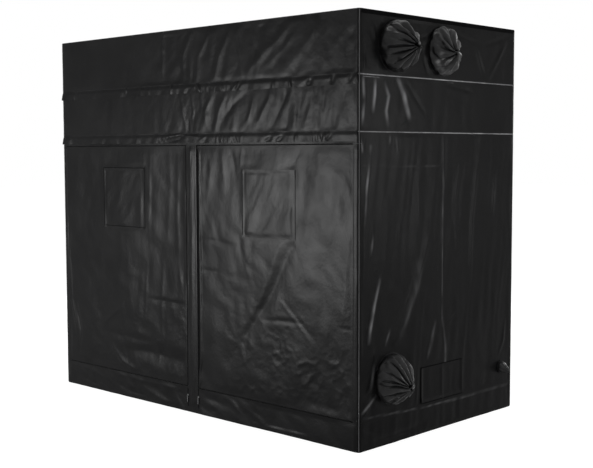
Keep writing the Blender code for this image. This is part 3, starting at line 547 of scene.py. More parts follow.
# Folds that the photograph shows on the front: half width and height in metres, then a line of its pixels
CANOPY_FRONT_FOLDS = (
    (0.015, 0.0022, 162.5, 39, 162, 80),
    (0.022, 0.0031, 190, 34, 182, 57, 184, 80),
    (0.022, 0.0031, 210, 31, 198, 57, 197, 79),
    (0.024, 0.0040, 230, 29, 219, 57, 214, 79),
    (0.017, 0.0027, 236, 31, 240, 57, 242, 77),
    (0.012, 0.0018, 254, 32, 257, 46),
    (0.031, 0.0036, 296, 19, 281, 36, 260, 57, 246, 74),
    (0.026, 0.0025, 298, 30, 279, 53, 264, 68),
    (0.032, 0.0022, 320, 24, 300, 52, 288, 68),
    (0.018, 0.0007, 345, 40, 342, 62),
)
EXTENSION_FRONT_FOLDS = (
    (0.014, 0.0027, 181, 97, 186, 131),
    (0.009, 0.0022, 191, 95, 193.5, 111, 191, 131),
    (0.021, 0.0036, 213, 95, 205, 111, 207, 127),
    (0.023, 0.0036, 227, 93, 219, 111, 215, 129),
    (0.025, -0.0053, 247, 92, 233, 105, 223, 120),
    (0.021, 0.0040, 255, 93, 251, 111, 245, 127),
    (0.021, 0.0031, 272, 92, 263, 111, 256, 126),
    (0.021, -0.0034, 288, 89, 278, 113, 270, 129),
    (0.017, -0.0022, 302, 89, 299, 111, 297, 127),
    (0.019, 0.0027, 314, 88, 309, 110, 305, 126),
    (0.018, -0.0019, 326, 86, 322, 111, 319, 129),
    (0.024, -0.0024, 348, 84, 340, 107, 333, 127),
)
DOOR_FOLDS = (
    (0.046, -0.0055, 298, 228, 288, 255, 268, 300, 252, 325, 238, 347, 228, 362),
    (0.035, 0.0029, 282, 238, 262, 296, 243, 330),
    (0.030, 0.0029, 207, 143, 210, 170, 207, 200),
    (0.025, 0.0020, 222, 145, 224, 185),
    (0.019, -0.0024, 229, 144, 234, 164, 236, 182),
    (0.014, 0.0024, 242, 144, 240, 168),
    (0.018, -0.0017, 303, 144, 290, 170),
    (0.051, 0.0024, 333, 145, 318, 178, 306, 235),
    (0.046, 0.0022, 352, 158, 340, 198, 331, 240),
    (0.035, 0.0029, 349, 240, 344, 300, 338, 350),
    (0.016, -0.0019, 197, 239, 215, 241, 234, 246),
    (0.016, -0.0024, 197, 269, 218, 272),
    (0.015, -0.0009, 225, 275, 236, 277),
    (0.014, -0.0026, 262, 320, 282, 321, 303, 324),
    (0.012, 0.0013, 278, 299, 294, 320, 315, 349),
    (0.012, -0.0014, 283, 300, 298, 320, 318, 345),
    (0.025, 0.0013, 255, 296, 246, 266, 262, 240),
    (0.025, 0.0012, 204, 205, 212, 228, 218, 250),
    (0.012, -0.0014, 340, 328, 356, 331),
)
LEFT_DOOR_FOLDS = (
    (0.030, 0.0019, 168, 143, 170, 190, 167, 240),
    (0.016, 0.0014, 150, 145, 149, 250),
    (0.021, 0.0017, 178, 150, 177, 220, 179, 262),
    (0.014, 0.0017, 147, 262, 146, 300, 145, 326),
    (0.018, 0.0019, 163, 262, 162, 300, 163, 346),
    (0.016, 0.0019, 178, 262, 182, 292),
    (0.018, -0.0054, 150, 299, 163, 301, 186, 305),
    (0.011, -0.0019, 184, 315, 189, 326),
    (0.021, 0.0037, 104, 322, 114, 313, 122, 306),
    (0.016, 0.0050, 70, 262, 72, 300, 78, 332),
    (0.016, -0.0050, 76, 300, 82, 330, 80, 350),
    (0.025, -0.0056, 108, 332, 126, 336, 152, 342),
    (0.057, -0.0124, 128, 349, 150, 352, 186, 362),
    (0.021, 0.0056, 112, 345, 122, 360, 138, 372),
)
SKIRT_FOLDS = (
    (0.028, 0.0040, 72, 362, 96, 372, 118, 385),
    (0.025, -0.0040, 76, 372, 98, 385, 116, 392),
    (0.022, 0.0030, 108, 368, 140, 380, 186, 390),
    (0.025, -0.0040, 112, 380, 134, 392, 150, 399),
    (0.022, 0.0026, 140, 385, 160, 398, 176, 404),
    (0.030, -0.0046, 203, 397, 216, 401, 228, 408),
    (0.022, 0.0030, 232, 402, 240, 412),
    (0.019, -0.0023, 250, 408, 262, 418),
)
UPPER_FLAP_FOLDS = (
    (0.010, 0.0051, 127, 84, 126, 93),
    (0.010, 0.0051, 172, 84, 171, 94),
    (0.017, 0.0068, 197, 84, 200, 92),
    (0.014, 0.0076, 232, 91, 238, 83),
    (0.010, -0.0051, 236, 91, 241, 82),
    (0.014, 0.0051, 274, 81, 273, 89),
    (0.010, 0.0059, 290, 80, 291, 88),
    (0.017, -0.0085, 307, 85, 312, 79),
    (0.017, -0.0085, 331, 84, 335, 76),
    (0.014, -0.0043, 349, 82, 353, 75),
)
LOWER_FLAP_FOLDS = (
    (0.019, -0.0087, 164, 142, 178, 138, 188, 134),
    (0.016, 0.0062, 168, 137, 180, 134.5, 196, 136),
    (0.013, 0.0037, 199, 142, 207, 136),
    (0.013, -0.0062, 264, 143, 272, 137),
    (0.013, -0.0062, 276, 142, 283, 136),
    (0.013, 0.0037, 296, 141, 297, 134),
    (0.010, -0.0037, 321, 142, 323, 133),
    (0.011, -0.0043, 326, 141, 332, 134),
)
# The slit beside the right-hand door wanders, as the photograph shows: its pixels
SLIT = ((197.6, 143.5), (197.4, 165), (198.4, 180), (196.8, 197), (195.6, 203), (195.6, 240), (196.0, 262),
        (199, 290), (199, 305), (197.2, 335), (196.2, 353), (194.2, 370), (193.6, 378))

# Folds on the right-hand face, in the same form
CANOPY_SIDE_FOLDS = (
    (0.012, 0.0041, 372, 24, 378, 46),
    (0.010, -0.0034, 417, 39, 428, 36),
    (0.014, -0.0048, 455, 34, 470, 41, 485, 45),
    (0.014, -0.0048, 485, 45, 498, 41, 509, 37),
    (0.016, 0.0054, 505, 45, 498, 60, 489, 78),
    (0.020, -0.0060, 477, 50, 484, 76),
    (0.012, 0.0041, 364, 56, 362.5, 72),
    (0.012, -0.0040, 424, 58, 428, 74),
)
EXTENSION_SIDE_FOLDS = (
    (0.010, 0.0034, 364.5, 77, 365, 100, 363, 122),
    (0.010, 0.0034, 376, 77, 375, 95, 374, 111),
    (0.010, 0.0034, 385, 83, 389, 96, 386, 111, 388.5, 125),
    (0.012, 0.0041, 398, 78, 404, 94, 410, 118),
    (0.014, -0.0048, 406, 82, 415, 97, 425, 114),
    (0.014, -0.0048, 446, 84, 460, 88, 472, 92),
    (0.010, -0.0034, 400, 124, 408, 119, 414, 118),
)
WALL_FOLDS = (
    (0.010, 0.0034, 371, 146, 369.5, 165, 366, 188, 364.5, 224),
    (0.010, 0.0034, 365, 140, 362.5, 152),
    (0.010, 0.0034, 390, 137, 390, 143),
    (0.010, 0.0034, 396, 139, 397, 153),
    (0.012, 0.0041, 373, 222, 371, 255),
    (0.013, 0.0044, 381, 275, 375, 303, 369.5, 333, 370, 343),
    (0.014, 0.0048, 400, 225, 398, 246),
    (0.030, 0.0102, 428, 240, 416, 285, 405, 318, 394, 344),
    (0.010, 0.0034, 391, 329, 385, 346),
    (0.030, 0.0050, 418, 180, 420, 230),
    (0.008, 0.0027, 443, 137, 443, 168, 444, 186),
    (0.008, 0.0027, 444, 186, 442.5, 225, 442, 270, 442, 318),
    (0.010, 0.0034, 442, 318, 445, 344, 446, 360),
    (0.016, 0.0054, 460, 165, 455, 200, 457, 250),
    (0.016, 0.0054, 477, 172, 472, 220, 470, 285),
    (0.016, 0.0050, 495, 175, 492, 215),
    (0.014, 0.0048, 435, 322, 432, 338, 427, 358),
    (0.010, 0.0034, 456, 313, 449, 322),
    (0.012, 0.0041, 505, 320, 503, 340, 499, 353),
    (0.010, 0.0034, 380, 390, 372, 401, 364, 415),
    (0.014, 0.0048, 371, 366, 374, 350),
    (0.018, -0.0061, 374, 380, 364, 398),
    (0.008, 0.0027, 417.5, 374, 416, 406),
    (0.012, -0.0041, 363, 430, 374, 432, 380, 431),
    (0.022, -0.0075, 376, 441, 400, 434, 424, 424),
    (0.020, -0.0068, 400, 441, 450, 426, 480, 414),
)

# Folds of the ends with a painted highlight along their crests: half width in metres and strength, then their
# pixels
EXTENSION_SHEEN_STREAKS = (
    (0.014, 0.95, 363.5, 78, 364.5, 100, 362.5, 124),
    (0.014, 0.9, 376, 77, 375, 95, 373.5, 111),
    (0.015, 0.6, 385, 83, 389, 96, 386, 111, 388.5, 125),
    (0.019, 0.95, 398, 78, 404, 94, 409.5, 119),
)
WALL_SHEEN_STREAKS = (
    (0.011, 0.95, 371, 146, 369.5, 165, 366.5, 188, 364.5, 224),
    (0.010, 0.60, 360.5, 138, 362.5, 152),
    (0.008, 0.45, 390, 136, 390, 144),
    (0.010, 0.35, 396, 138, 397, 153),
    (0.010, 0.35, 373, 235, 371, 255),
    (0.014, 0.75, 380, 280, 375, 303, 370, 333, 369.5, 343),
    (0.030, 0.16, 420, 262, 412, 300, 401, 332),
    (0.008, 0.35, 390, 330, 385, 346),
    (0.007, 0.28, 443, 137, 443, 168, 443.5, 186, 442.5, 225, 442, 318),
    (0.010, 0.32, 442, 318, 445, 344, 446, 388),
    (0.010, 0.50, 380, 390, 372, 401, 362, 414),
    (0.014, 0.20, 374, 366, 370, 400),
    (0.012, 0.20, 435, 322, 427, 358),
    (0.006, 0.30, 363, 419, 420, 408, 460, 398, 508, 384),
    (0.004, 0.16, 360, 166, 440, 166),
)

# A sock's outline: how far out and how wide it is, as shares of its length and of its rim, ring by ring
SOCK_PROFILE = (
    (0.00, 1.00), (0.04, 1.02), (0.12, 1.03), (0.24, 0.99), (0.38, 0.90), (0.53, 0.76), (0.67, 0.60),
    (0.80, 0.42), (0.90, 0.27), (0.97, 0.17), (1.00, 0.11), (0.97, 0.075), (0.88, 0.055),
)
# Each sock: pleats, seed, twist, share of the length, droop and roughness
SOCKS = (
    ("front", 14, 301, 0.05, 1.0, 0.004, 0.02),
    ("middle", 9, 311, 0.45, 0.62, 0.014, 0.09),
    ("low", 15, 321, -0.10, 0.92, 0.034, 0.03),
    ("cable", 8, 331, 0.2, 0.95, 0.022, 0.03),
)

# Each lamp: its place, what it aims at, its size in metres and its power in watts
LAMPS = (
    ("front_softbox", (-4.95, -7.79, 0.70), (0.7, -0.76, 1.2), (1.4, 2.2), 1520),
    ("side_softbox", (5.6, 3.6, 1.6), (1.37, -0.4, 1.4), (1.2, 2.2), 100),
    ("streak_softbox", (7.4, 0.9, 1.5), (1.5, -0.6, 1.4), (0.7, 2.6), 160),
    ("left_fill", (-5.5, 1.2, 2.6), (-1.3, 0.0, 1.3), (2.0, 2.4), 110),
    ("rear_fill", (0.0, 6.0, 3.0), (0.0, 0.7, 1.3), (3.0, 2.4), 150),
    ("top_fill", (0.0, 0.0, 6.0), (0.0, 0.0, 2.4), (3.0, 2.0), 60),
)


def metres(folds, spread):
    """Folds as their lines on a face, their half widths and their heights."""
    return [(spread(list(zip(pixels[::2], pixels[1::2]))), width, height) for width, height, *pixels in folds]


def port_of(node):
    """Centre and outer radius of a port's collar."""
    return Vector([middle_of(node, axis) for axis in range(3)]), half_of(node, 1)


def round_hole(node, collar):
    """The hole behind a sock, smaller than its collar."""
    centre, radius = port_of(node)
    return "round", centre.y, centre.z, radius - collar, 0


def clear_of(node, u, z):
    """0 at a port and 1 away from it."""
    centre, radius = port_of(node)
    return fade(np.hypot(u - centre.y, z - centre.z), radius, 0.05)


def slack(u, z, seed, share=1.0):
    """The soft swell and the fine creases that every hanging panel has."""
    swell = noise(u / 0.55, z / 0.60, seed) * 0.0045
    drape = swells(u, z, seed + 3, 5, 0.085, 0.50) * 0.0014
    soft = swells(u, z, seed + 4, -35, 0.070, 0.16) * 0.0006
    fine = (crumple(u, z, seed + 5, 0.085) - 0.35) * 0.0005
    return share * (swell + drape + soft + fine)


def canopy_front_relief(u, z):
    """The front band under the roof: slack folds towards the right-hand end."""
    held = held_edges(u, z, (-POST_X, POST_X), (UPPER_SEAM, HEIGHT), 0.03, 0.035)
    busy = fade(u, -0.55, 0.5)
    held = held * (1 - 0.8 * fade(u, 1.05, 0.15) * fade(z, 2.27, 0.06))
    lean = swells(u, z, 31, 28, 0.075, 0.26) * 0.0018 * busy
    own = crests(u, z, metres(CANOPY_FRONT_FOLDS, on_front))
    return held * (slack(u, z, 21, 0.6 + 0.5 * busy) + lean + own)


def extension_front_relief(u, z):
    """The front band between the ring zips."""
    held = held_edges(u, z, (-POST_X, POST_X), (LOWER_SEAM, UPPER_SEAM), 0.03, 0.030)
    busy = fade(u, -0.45, 0.4)
    lean = swells(u, z, 41, 14, 0.055, 0.24) * 0.0018 * busy
    own = crests(u, z, metres(EXTENSION_FRONT_FOLDS, on_front))
    return held * (slack(u, z, 43, 0.6 + 0.6 * busy) + lean + own)


def plain_relief(u_limits, z_limits, seed, angle=8, share=1.0):
    """A panel that the photograph doesn't show: slack, with a few folds from corner to corner."""

    def relief(u, z):
        held = held_edges(u, z, u_limits, z_limits, 0.04, 0.04)
        long = swells(u, z, seed + 7, angle, 0.13, 0.8) * 0.0045
        return held * share * (slack(u, z, seed) + long)

    return relief


def held_relief(u_limits, z_limits, seed, folds):
    """A panel that the photograph shows: slack, with its own folds."""

    def relief(u, z):
        held = held_edges(u, z, u_limits, z_limits, 0.012, 0.02)
        return held * (slack(u, z, seed) + crests(u, z, folds))

    return relief


def end_canopy_relief(folds):
    """An end of the band under the roof, flat round its ports."""

    def relief(u, z):
        held = held_edges(u, z, (-POST_Y, POST_Y), (UPPER_SEAM, HEIGHT), 0.02, 0.03)
        for node in ("right_front_duct_sock", "right_middle_duct_sock"):
            held = held * clear_of(node, u, z)
        return held * (slack(u, z, 61, 0.9) + crests(u, z, folds))

    return relief


def end_wall_relief(folds):
    """An end wall: long folds, a pressed crease across it and its floor seam."""

    def relief(u, z):
        held = held_edges(u, z, (-POST_Y, POST_Y), (SILL, LOWER_SEAM), 0.02, 0.035)
        low = held_edges(u, z, (-POST_Y, POST_Y), (-0.03, SILL), 0.02, 0.02)
        held = held * clear_of("right_low_duct_sock", u, z)
        beside = np.maximum(np.abs(u) - VENT_HALF, np.abs(z - VENT_Z) - VENT_RISE)
        held = held * fade(beside, -0.012, 0.05)
        drape = swells(u, z, 71, 5, 0.060, 0.8) * 0.0016
        pressed = np.exp(-(np.abs(z - 1.560) / 0.006)) * -0.0016
        seam = np.exp(-((z - SILL) / 0.006) ** 2) * 0.0030
        return (held + low) * (slack(u, z, 73, 1.0) + drape + crests(u, z, folds)) + held * pressed + seam

    return relief


def build_bands():
    """The canopy and extension bands on all four sides."""
    bands = (
        ("canopy", UPPER_SEAM + ZIP_SLOT, HEIGHT - CLOTH, UPPER_SEAM, HEIGHT, 181, canopy_front_relief,
         CANOPY_SIDE_FOLDS),
        ("extension", LOWER_SEAM + ZIP_SLOT, UPPER_SEAM - ZIP_SLOT, LOWER_SEAM, UPPER_SEAM, 191,
         extension_front_relief, EXTENSION_SIDE_FOLDS),
    )
    for band, low, high, foot, top, seed, front_relief, side_folds in bands:
        rear_relief = plain_relief((-POST_X, POST_X), (foot, top), seed, 14)
        for row, place, cell, relief in (("front", front_place, FINE_CELL, front_relief),
                                         ("rear", rear_place, COARSE_CELL, rear_relief)):
            node = band + "_" + row
            cloth(node + "_cloth", node, place, round_corners(cell), even(low, high, cell), relief,
                  "stretched", row + "_top_rail")
        shown = metres(side_folds, on_side)
        for side, way, place, cell in SIDES:
            holes, wear = [], ()
            if band == "canopy":
                holes = [round_hole(side + spot + "_duct_sock", COLLAR) for spot in ("_front", "_middle")]
                relief = end_canopy_relief(shown)
            elif way > 0:
                relief = held_relief((-POST_Y, POST_Y), (foot, top), 95, shown)
                # The right-hand extension gets painted highlight streaks along its folds
                wear = metres(EXTENSION_SHEEN_STREAKS, on_side)
            else:
                relief = plain_relief((-POST_Y, POST_Y), (foot, top), 97, -10)
            area = (ENDS[1] - ENDS[0]) * (high - low)
            for hole in holes:
                area -= math.pi * hole[3] ** 2
            cloth(side + "_" + band + "_cloth", band + "_" + side, place, even(*ENDS, cell),
                  even(low, high, cell), relief, "stretched", side + "_top_rail", area, holes=holes, wear=wear)


def build_roof_hems():
    """A matt hem of the roof sheet, turned down over each end."""
    low, high = HEIGHT - ROOF_HEM, HEIGHT - CLOTH
    us, zs = even(*ENDS, 0.012), even(low, high, 0.006)

    def hem_relief(u, z):
        return 0.0017 + 0.0007 * noise(u / 0.06, z / 0.03, 605) + 0.0010 * (z - low) / ROOF_HEM

    for side, _, place, _ in SIDES:
        hem = panel(side + "_roof_hem", place, us, zs, hem_relief, front=EDGE_TAPE, back=EDGE_TAPE,
                    thick=TAPE, free=True)


def build_walls():
    """The end walls with their holes, and the rear wall."""
    top = LOWER_SEAM - ZIP_SLOT
    relief = end_wall_relief(metres(WALL_FOLDS, on_side))
    vent = (VENT_HALF - VENT_BORDER, VENT_RISE - VENT_BORDER)
    for side, _, place, cell in SIDES:
        duct = round_hole(side + "_low_duct_sock", COLLAR)
        cable = round_hole(side + "_cable_sock", CABLE_COLLAR)
        area = (ENDS[1] - ENDS[0]) * top - math.pi * (duct[3] ** 2 + cable[3] ** 2) - 4 * vent[0] * vent[1]
        # Both end walls get painted highlight streaks along their folds
        cloth(side + "_wall_cloth", side + "_wall", place, even(*ENDS, cell), even(0, top, cell), relief,
              "stretched", side + "_top_rail", area, holes=[duct, cable, ("square", 0, VENT_Z, *vent)],
              wear=metres(WALL_SHEEN_STREAKS, on_side))
    relief = plain_relief((-POST_X, POST_X), (0, LOWER_SEAM), 111, 5, 1.2)
    cloth("rear_wall_cloth", "rear_wall", rear_place, round_corners(COARSE_CELL), even(0, top, COARSE_CELL),
          relief, "stretched", "rear_top_rail")


def flat_sheet(name, z, front, back, relief=None):
    """A level sheet over the whole plan."""
    x, y, _, _ = front_place(round_corners(FLAT_CELL))
    shares = even(-1, 1, FLAT_CELL)
    gx = np.repeat(x[:, None], len(shares), axis=1)
    gy = -y[:, None] * shares[None, :]
    height = relief(gx, gy) if relief else 0 * gx
    outer, inner = (np.stack([gx, gy, z + height - thick], axis=-1) for thick in (0, CLOTH))
    return add_shell(name, outer, inner, front, back)


def build_roof_and_floor():
    """The roof sags a little between its rails; the floor sheet lies flat."""

    def roof_relief(x, y):
        span = np.clip(1 - (np.abs(y) / HALF_Y) ** 2, 0, 1) * np.abs(np.sin(np.pi * x / POST_X))
        held = fade(HALF_Y - np.abs(y), 0.01, 0.08) * fade(HALF_X - np.abs(x), 0.01, 0.08)
        folds = (creases(x, y, 121, 35, 0.16, 0.8) - 0.5) * 0.006 + (crumple(x, y, 125, 0.12) - 0.4) * 0.003
        rails = np.minimum(HALF_X - POLE_DEPTH - np.abs(x), HALF_Y - POLE_DEPTH - np.abs(y))
        bars = np.minimum(np.abs(x), np.abs(np.abs(x) - HANGING_X))
        poles = carried(np.minimum(np.abs(rails), bars))
        return np.clip(-0.014 * span + held * folds - 0.004 * held, poles, 0)

    roof = flat_sheet("roof_cloth", HEIGHT, CANVAS, LINING, roof_relief)
    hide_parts("roof_panel")
    floor = flat_sheet("floor_cloth_sheet", CLOTH, FLOOR_CLOTH, CANVAS)
    inset = 1 - (CLOTH + SEAM_GAP) / HALF_Y
    floor.data.transform(Matrix.Diagonal((inset, inset, 1, 1)))
    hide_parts("floor_sheet")


def tube(name, path, material, closed=False):
    """Round piping along a path of points."""
    curve = bpy.data.curves.new(name, "CURVE")
    curve.dimensions = "3D"
    curve.bevel_depth = PIPING_RADIUS
    curve.bevel_resolution = 2
    curve.use_fill_caps = True
    spline = curve.splines.new("POLY")
    spline.points.add(len(path) - 1)
    for point, spot in zip(spline.points, path):
        point.co = (*spot, 1.0)
    spline.use_cyclic_u = closed
    curve.materials.append(material)
    item = bpy.data.objects.new(name, curve)
    bpy.context.scene.collection.objects.link(item)
    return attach(item, "root")


def plan_ring(depth, height, cell):
    """Points round the whole plan, with its rounded corners."""
    us = round_corners(cell)
    points = []
    for place, order in ((front_place, us), (rear_place, us[::-1])):
        x, y, east, north = place(order)
        points += [(a - e * depth, b - n * depth, height) for a, b, e, n in zip(x, y, east, north)]
    return points


def outward(path):
    """Directions out of the plan for the points of a ring."""
    spots = np.asarray(path)
    core_x = np.clip(spots[:, 0], -POST_X, POST_X)
    core_y = np.clip(spots[:, 1], -POST_Y, POST_Y)
    outs = np.stack([spots[:, 0] - core_x, spots[:, 1] - core_y, 0 * core_x], axis=1)
    return outs / np.maximum(np.linalg.norm(outs, axis=1), 1e-9)[:, None]


def blocks(path, outs, up, pitch, size, start=0.0):
    """Small blocks along a path: size is along, up and out, and start is how far out each one begins."""
    path = np.asarray(path, dtype=float)
    steps = np.linalg.norm(np.diff(path, axis=0), axis=1)
    gone = np.concatenate([[0], np.cumsum(steps)])
    count = max(1, int(gone[-1] / pitch))
    spots = (np.arange(count) + 0.5) * gone[-1] / count
    centre = np.stack([np.interp(spots, gone, path[:, k]) for k in range(3)], axis=1)
    which = np.clip(np.searchsorted(gone, spots) - 1, 0, len(steps) - 1)
    along = np.diff(path, axis=0)[which] / steps[which][:, None]
    out = np.asarray(outs, dtype=float)
    out = np.stack([np.interp(spots, gone, out[:, k]) for k in range(3)], axis=1)
    out /= np.linalg.norm(out, axis=1)[:, None]
    up = np.asarray(up, dtype=float)
    length, wide, deep = size
    corners = []
    for c, taper in ((0, 1.0), (1, 0.75)):
        for a, b in ((-1, -1), (1, -1), (1, 1), (-1, 1)):
            spot = centre + along * (a * length / 2 * taper) + up * (b * wide / 2 * taper)
            corners.append(spot + out * (start + c * deep))
    points = np.stack(corners, axis=1).reshape(-1, 3)
    base = np.array([(0, 3, 2, 1), (4, 5, 6, 7), (0, 1, 5, 4), (1, 2, 6, 5), (2, 3, 7, 6), (3, 0, 4, 7)])
    faces = (np.arange(count)[:, None, None] * 8 + base[None]).reshape(-1, 4)
    return points, faces


def sideways(one, two):
    """The direction across a run in the front face."""
    return (Vector(two) - Vector(one)).normalized().cross(Vector(FORWARD))


def straight_blocks(one, two, pitch, size, start):
    """Blocks along a straight run in the front face."""
    return blocks([Vector(one), Vector(two)], [FORWARD, FORWARD], sideways(one, two), pitch, size, start)


def add_parts(name, parts, material, body="root"):
    """Several sets of points and faces as one object with flat faces."""
    points, faces, offset = [], [], 0
    for some, more in parts:
        points.append(some)
        faces.append(more + offset)
        offset += len(some)
    points, faces = np.concatenate(points), np.concatenate(faces)
    return add_object(name, points, faces, [material], smooth=False, body=body)


def build_ring_zips():
    """Two zips right round the tent: tape behind the slot and two rows of teeth in it."""
    ring = plan_ring(0, 0, RING_CELL)
    ring = np.array(ring + ring[:1])
    outs = outward(ring)
    size = (TOOTH_LENGTH, TOOTH_WIDTH * 1.05, TOOTH_DEPTH)
    for name, seam in (("upper", UPPER_SEAM), ("lower", LOWER_SEAM)):
        path = plan_ring(CLOTH, seam, RING_CELL)
        path.append(path[0])
        rows = [[(x, y, z + way * TOOTH_WIDTH / 2) for x, y, z in path] for way in (-1, 1)]
        teeth = [blocks(row, outward(row), (0, 0, 1), TOOTH_PITCH, size) for row in rows]
        add_parts(name + "_ring_zip_teeth", teeth, ZIP_TEETH)
        grids = []
        for extra in (0, TAPE):
            sunk = ring - outs * (CLOTH + SEAM_GAP + extra)
            edges = [sunk + np.array([0, 0, seam + edge]) for edge in (-TAPE_WIDTH, TAPE_WIDTH)]
            grids.append(np.stack(edges, axis=1))
        add_shell(name + "_ring_zip_tape", *grids, ZIP_TAPE, ZIP_TAPE)


def storm_relief(top, drop, folds, seed):
    """A loose strip: sewn flat along its top edge, its lower edge stands off in crimps."""

    def relief(u, z):
        down = np.clip((top - z) / drop, 0, 1)
        base = 0.0016 + 0.0034 * fade(down, 0.0, 0.50) - 0.0010 * down
        lean = swells(u, z, seed, 20, 0.060, 0.16) * 0.0024
        bunch = fade(noise(u / 0.35, 0 * u + 3.5, seed + 9), 0.05, 0.5)
        crimp = (creases(u, z, seed + 4, -12, 0.030, 0.12, 1.3) - 0.30) * 0.0030 * bunch
        ends = 0.010 * fade(-u, HALF_X - 0.12, 0.10) * down
        return base + down ** 0.7 * (lean + crimp) + ends + 0.8 * crests(u, z, folds) * fade(down, 0.0, 0.25)

    return relief


def build_storm_flaps():
    """The two strips across the front that cover the ring zips, with their stitches."""
    for name, folds, seed in (("upper", UPPER_FLAP_FOLDS, 131), ("lower", LOWER_FLAP_FOLDS, 141)):
        node = name + "_storm_flap"
        low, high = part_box(node)
        us = even(-high.x, high.x, 0.0055)
        relief = storm_relief(high.z, high.z - low.z, metres(folds, on_front), seed)
        cloth(node + "_cloth", node, front_place, us, even(low.z, high.z, 0.0052), relief, "hung",
              "canopy_front_cloth", back=CANVAS)
        line = [(u, -HALF_Y, high.z - 0.004) for u in us[::6]]
        start = float(relief(np.array([0.0]), np.array([high.z]))[0]) - 0.0001
        size = (STITCH_LENGTH, STITCH_WIDTH, STITCH_DEPTH)
        stitches = blocks(line, [FORWARD] * len(line), (0, 0, 1), STITCH_PITCH, size, start)
        add_parts(node + "_stitches", [stitches], THREAD)


def build_surround():
    """Header, skirt, corner strips and the strip between the doors."""
    head_low, top, foot_top = HEAD + ZIP_SLOT, LOWER_SEAM - ZIP_SLOT, SILL - ZIP_SLOT
    notch = CENTRE_HALF + ZIP_SLOT
    shown = metres(SKIRT_FOLDS, on_front)

    def header_relief(u, z):
        return held_edges(u, z, (-POST_X, POST_X), (HEAD, LOWER_SEAM), 0.02, 0.02) * slack(u, z, 151, 0.8)

    def skirt_relief(u, z):
        held = held_edges(u, z, (-POST_X, POST_X), (-0.04, SILL), 0.02, 0.03)
        held = held * fade(np.abs(u), notch, 0.03)
        lean = swells(u, z, 161, -58, 0.06, 0.25) * 0.0022 * (1 - 0.6 * fade(u, 0.2, 0.6))
        return held * (slack(u, z, 163, 0.9) + lean + crests(u, z, shown))

    def centre_relief(u, z):
        held = held_edges(u, z, (-CENTRE_HALF, CENTRE_HALF), (HEM, HEAD), 0.020, 0.04)
        ridge = 0.0022 * np.cos(np.pi * u / 0.062) ** 2 + swells(u, z, 183, 1, 0.020, 0.24) * 0.0010
        return held * (ridge + 0.001)

    us = round_corners(FINE_CELL)
    cloth("header_cloth", "header_strip", front_place, us, even(head_low, top, FINE_CELL), header_relief,
          "stretched", "extension_front_cloth")
    mid = HEM / 2 + foot_top / 2
    cloth("skirt_cloth", "front_skirt", front_place, us, even(0, foot_top, COVER_CELL), skirt_relief, "hung",
          "front_floor_rail", holes=[("square", 0, mid + HEM / 2, notch, mid - HEM / 2)])
    zs = even(foot_top + SEAM_GAP, head_low - SEAM_GAP, FINE_CELL)
    for side, way, *_ in SIDES:
        us = even(HINGE_X + SEAM_GAP, POST_X, 0.006)
        us = on_way(np.concatenate([us, POST_X + np.linspace(0, CORNER_ARC, 7)[1:]]), way)

        def strip_relief(u, z):
            held = held_edges(np.abs(u), z, (HINGE_X, POST_X + CORNER_ARC), (SILL, HEAD), 0.012, 0.03)
            return held * (0.0012 + swells(u, z, 171 + way, 3, 0.03, 0.4) * 0.0008)

        node = side + "_corner_strip"
        cloth(node + "_cloth", node, front_place, us, zs, strip_relief, "stretched", side + "_front_post")
    inner = CENTRE_HALF - ZIP_SLOT
    zs = even(HEM, head_low - SEAM_GAP, FINE_CELL)
    cloth("centre_strip_cloth", "centre_strip", front_place, even(-inner, inner, 0.0045), zs, centre_relief,
          "stretched", "header_cloth")


def door_zip_path(way, grow):
    """The C-shaped zip round a door: along its head, down its inner edge and back along its foot."""
    x = CENTRE_HALF + grow
    high, low = HEAD - grow, SILL + grow
    return [(way * a, -HALF_Y, b) for a, b in ((HINGE_X, high), (x, high), (x, low), (HINGE_X, low))]


def build_door_zips():
    """Half zips: one on each door, and one round each doorway that ends at the hem."""
    size = (TOOTH_LENGTH, TOOTH_WIDTH, TOOTH_DEPTH)
    for side, way, *_ in SIDES:
        for owner, body, grow in (("door", side + "_door", ZIP_HALF), ("doorway", "root", -ZIP_HALF)):
            path = door_zip_path(way, grow)
            runs = list(zip(path, path[1:]))
            if owner == "doorway":
                runs.insert(2, (path[2], (*path[2][:2], HEM)))
            teeth = [straight_blocks(*run, TOOTH_PITCH, size, -0.0026) for run in runs]
            add_parts(side + "_" + owner + "_zip_teeth", teeth, DARK_TEETH, body)
            tapes = []
            for one, two in runs:
                length = (Vector(two) - Vector(one)).length
                # A real zip tape, but the right door's is the near-black edge tape, wider along its inner
                # edge, as painted shade in the slit; the left door's is lighter webbing
                wide = 0.028 if owner == "door" and way > 0 and one[0] == two[0] else 0.012
                shift = 0.0005 + wide / 2 if owner == "door" else -0.0065
                across = sideways(one, two)
                moved = [Vector(p) + across * (-way) * shift for p in (one, two)]
                start = -CLOTH - 0.0004 - TAPE
                tapes.append(blocks(moved, [FORWARD, FORWARD], across, length, (length, wide, TAPE), start))
            finish = EDGE_TAPE if way > 0 else WEBBING
            add_parts(side + "_" + owner + "_zip_tape", tapes, finish, body=body)
        foot = [(way * CENTRE_HALF, -HALF_Y, z - 0.006) for z in (HEM, SILL)]
        length = SILL - HEM
        tape = straight_blocks(*foot, length, (length, 0.018, TAPE), -CLOTH - 0.0008 - 2 * TAPE)
        add_parts(side + "_zip_end_tape", [tape], EDGE_TAPE)


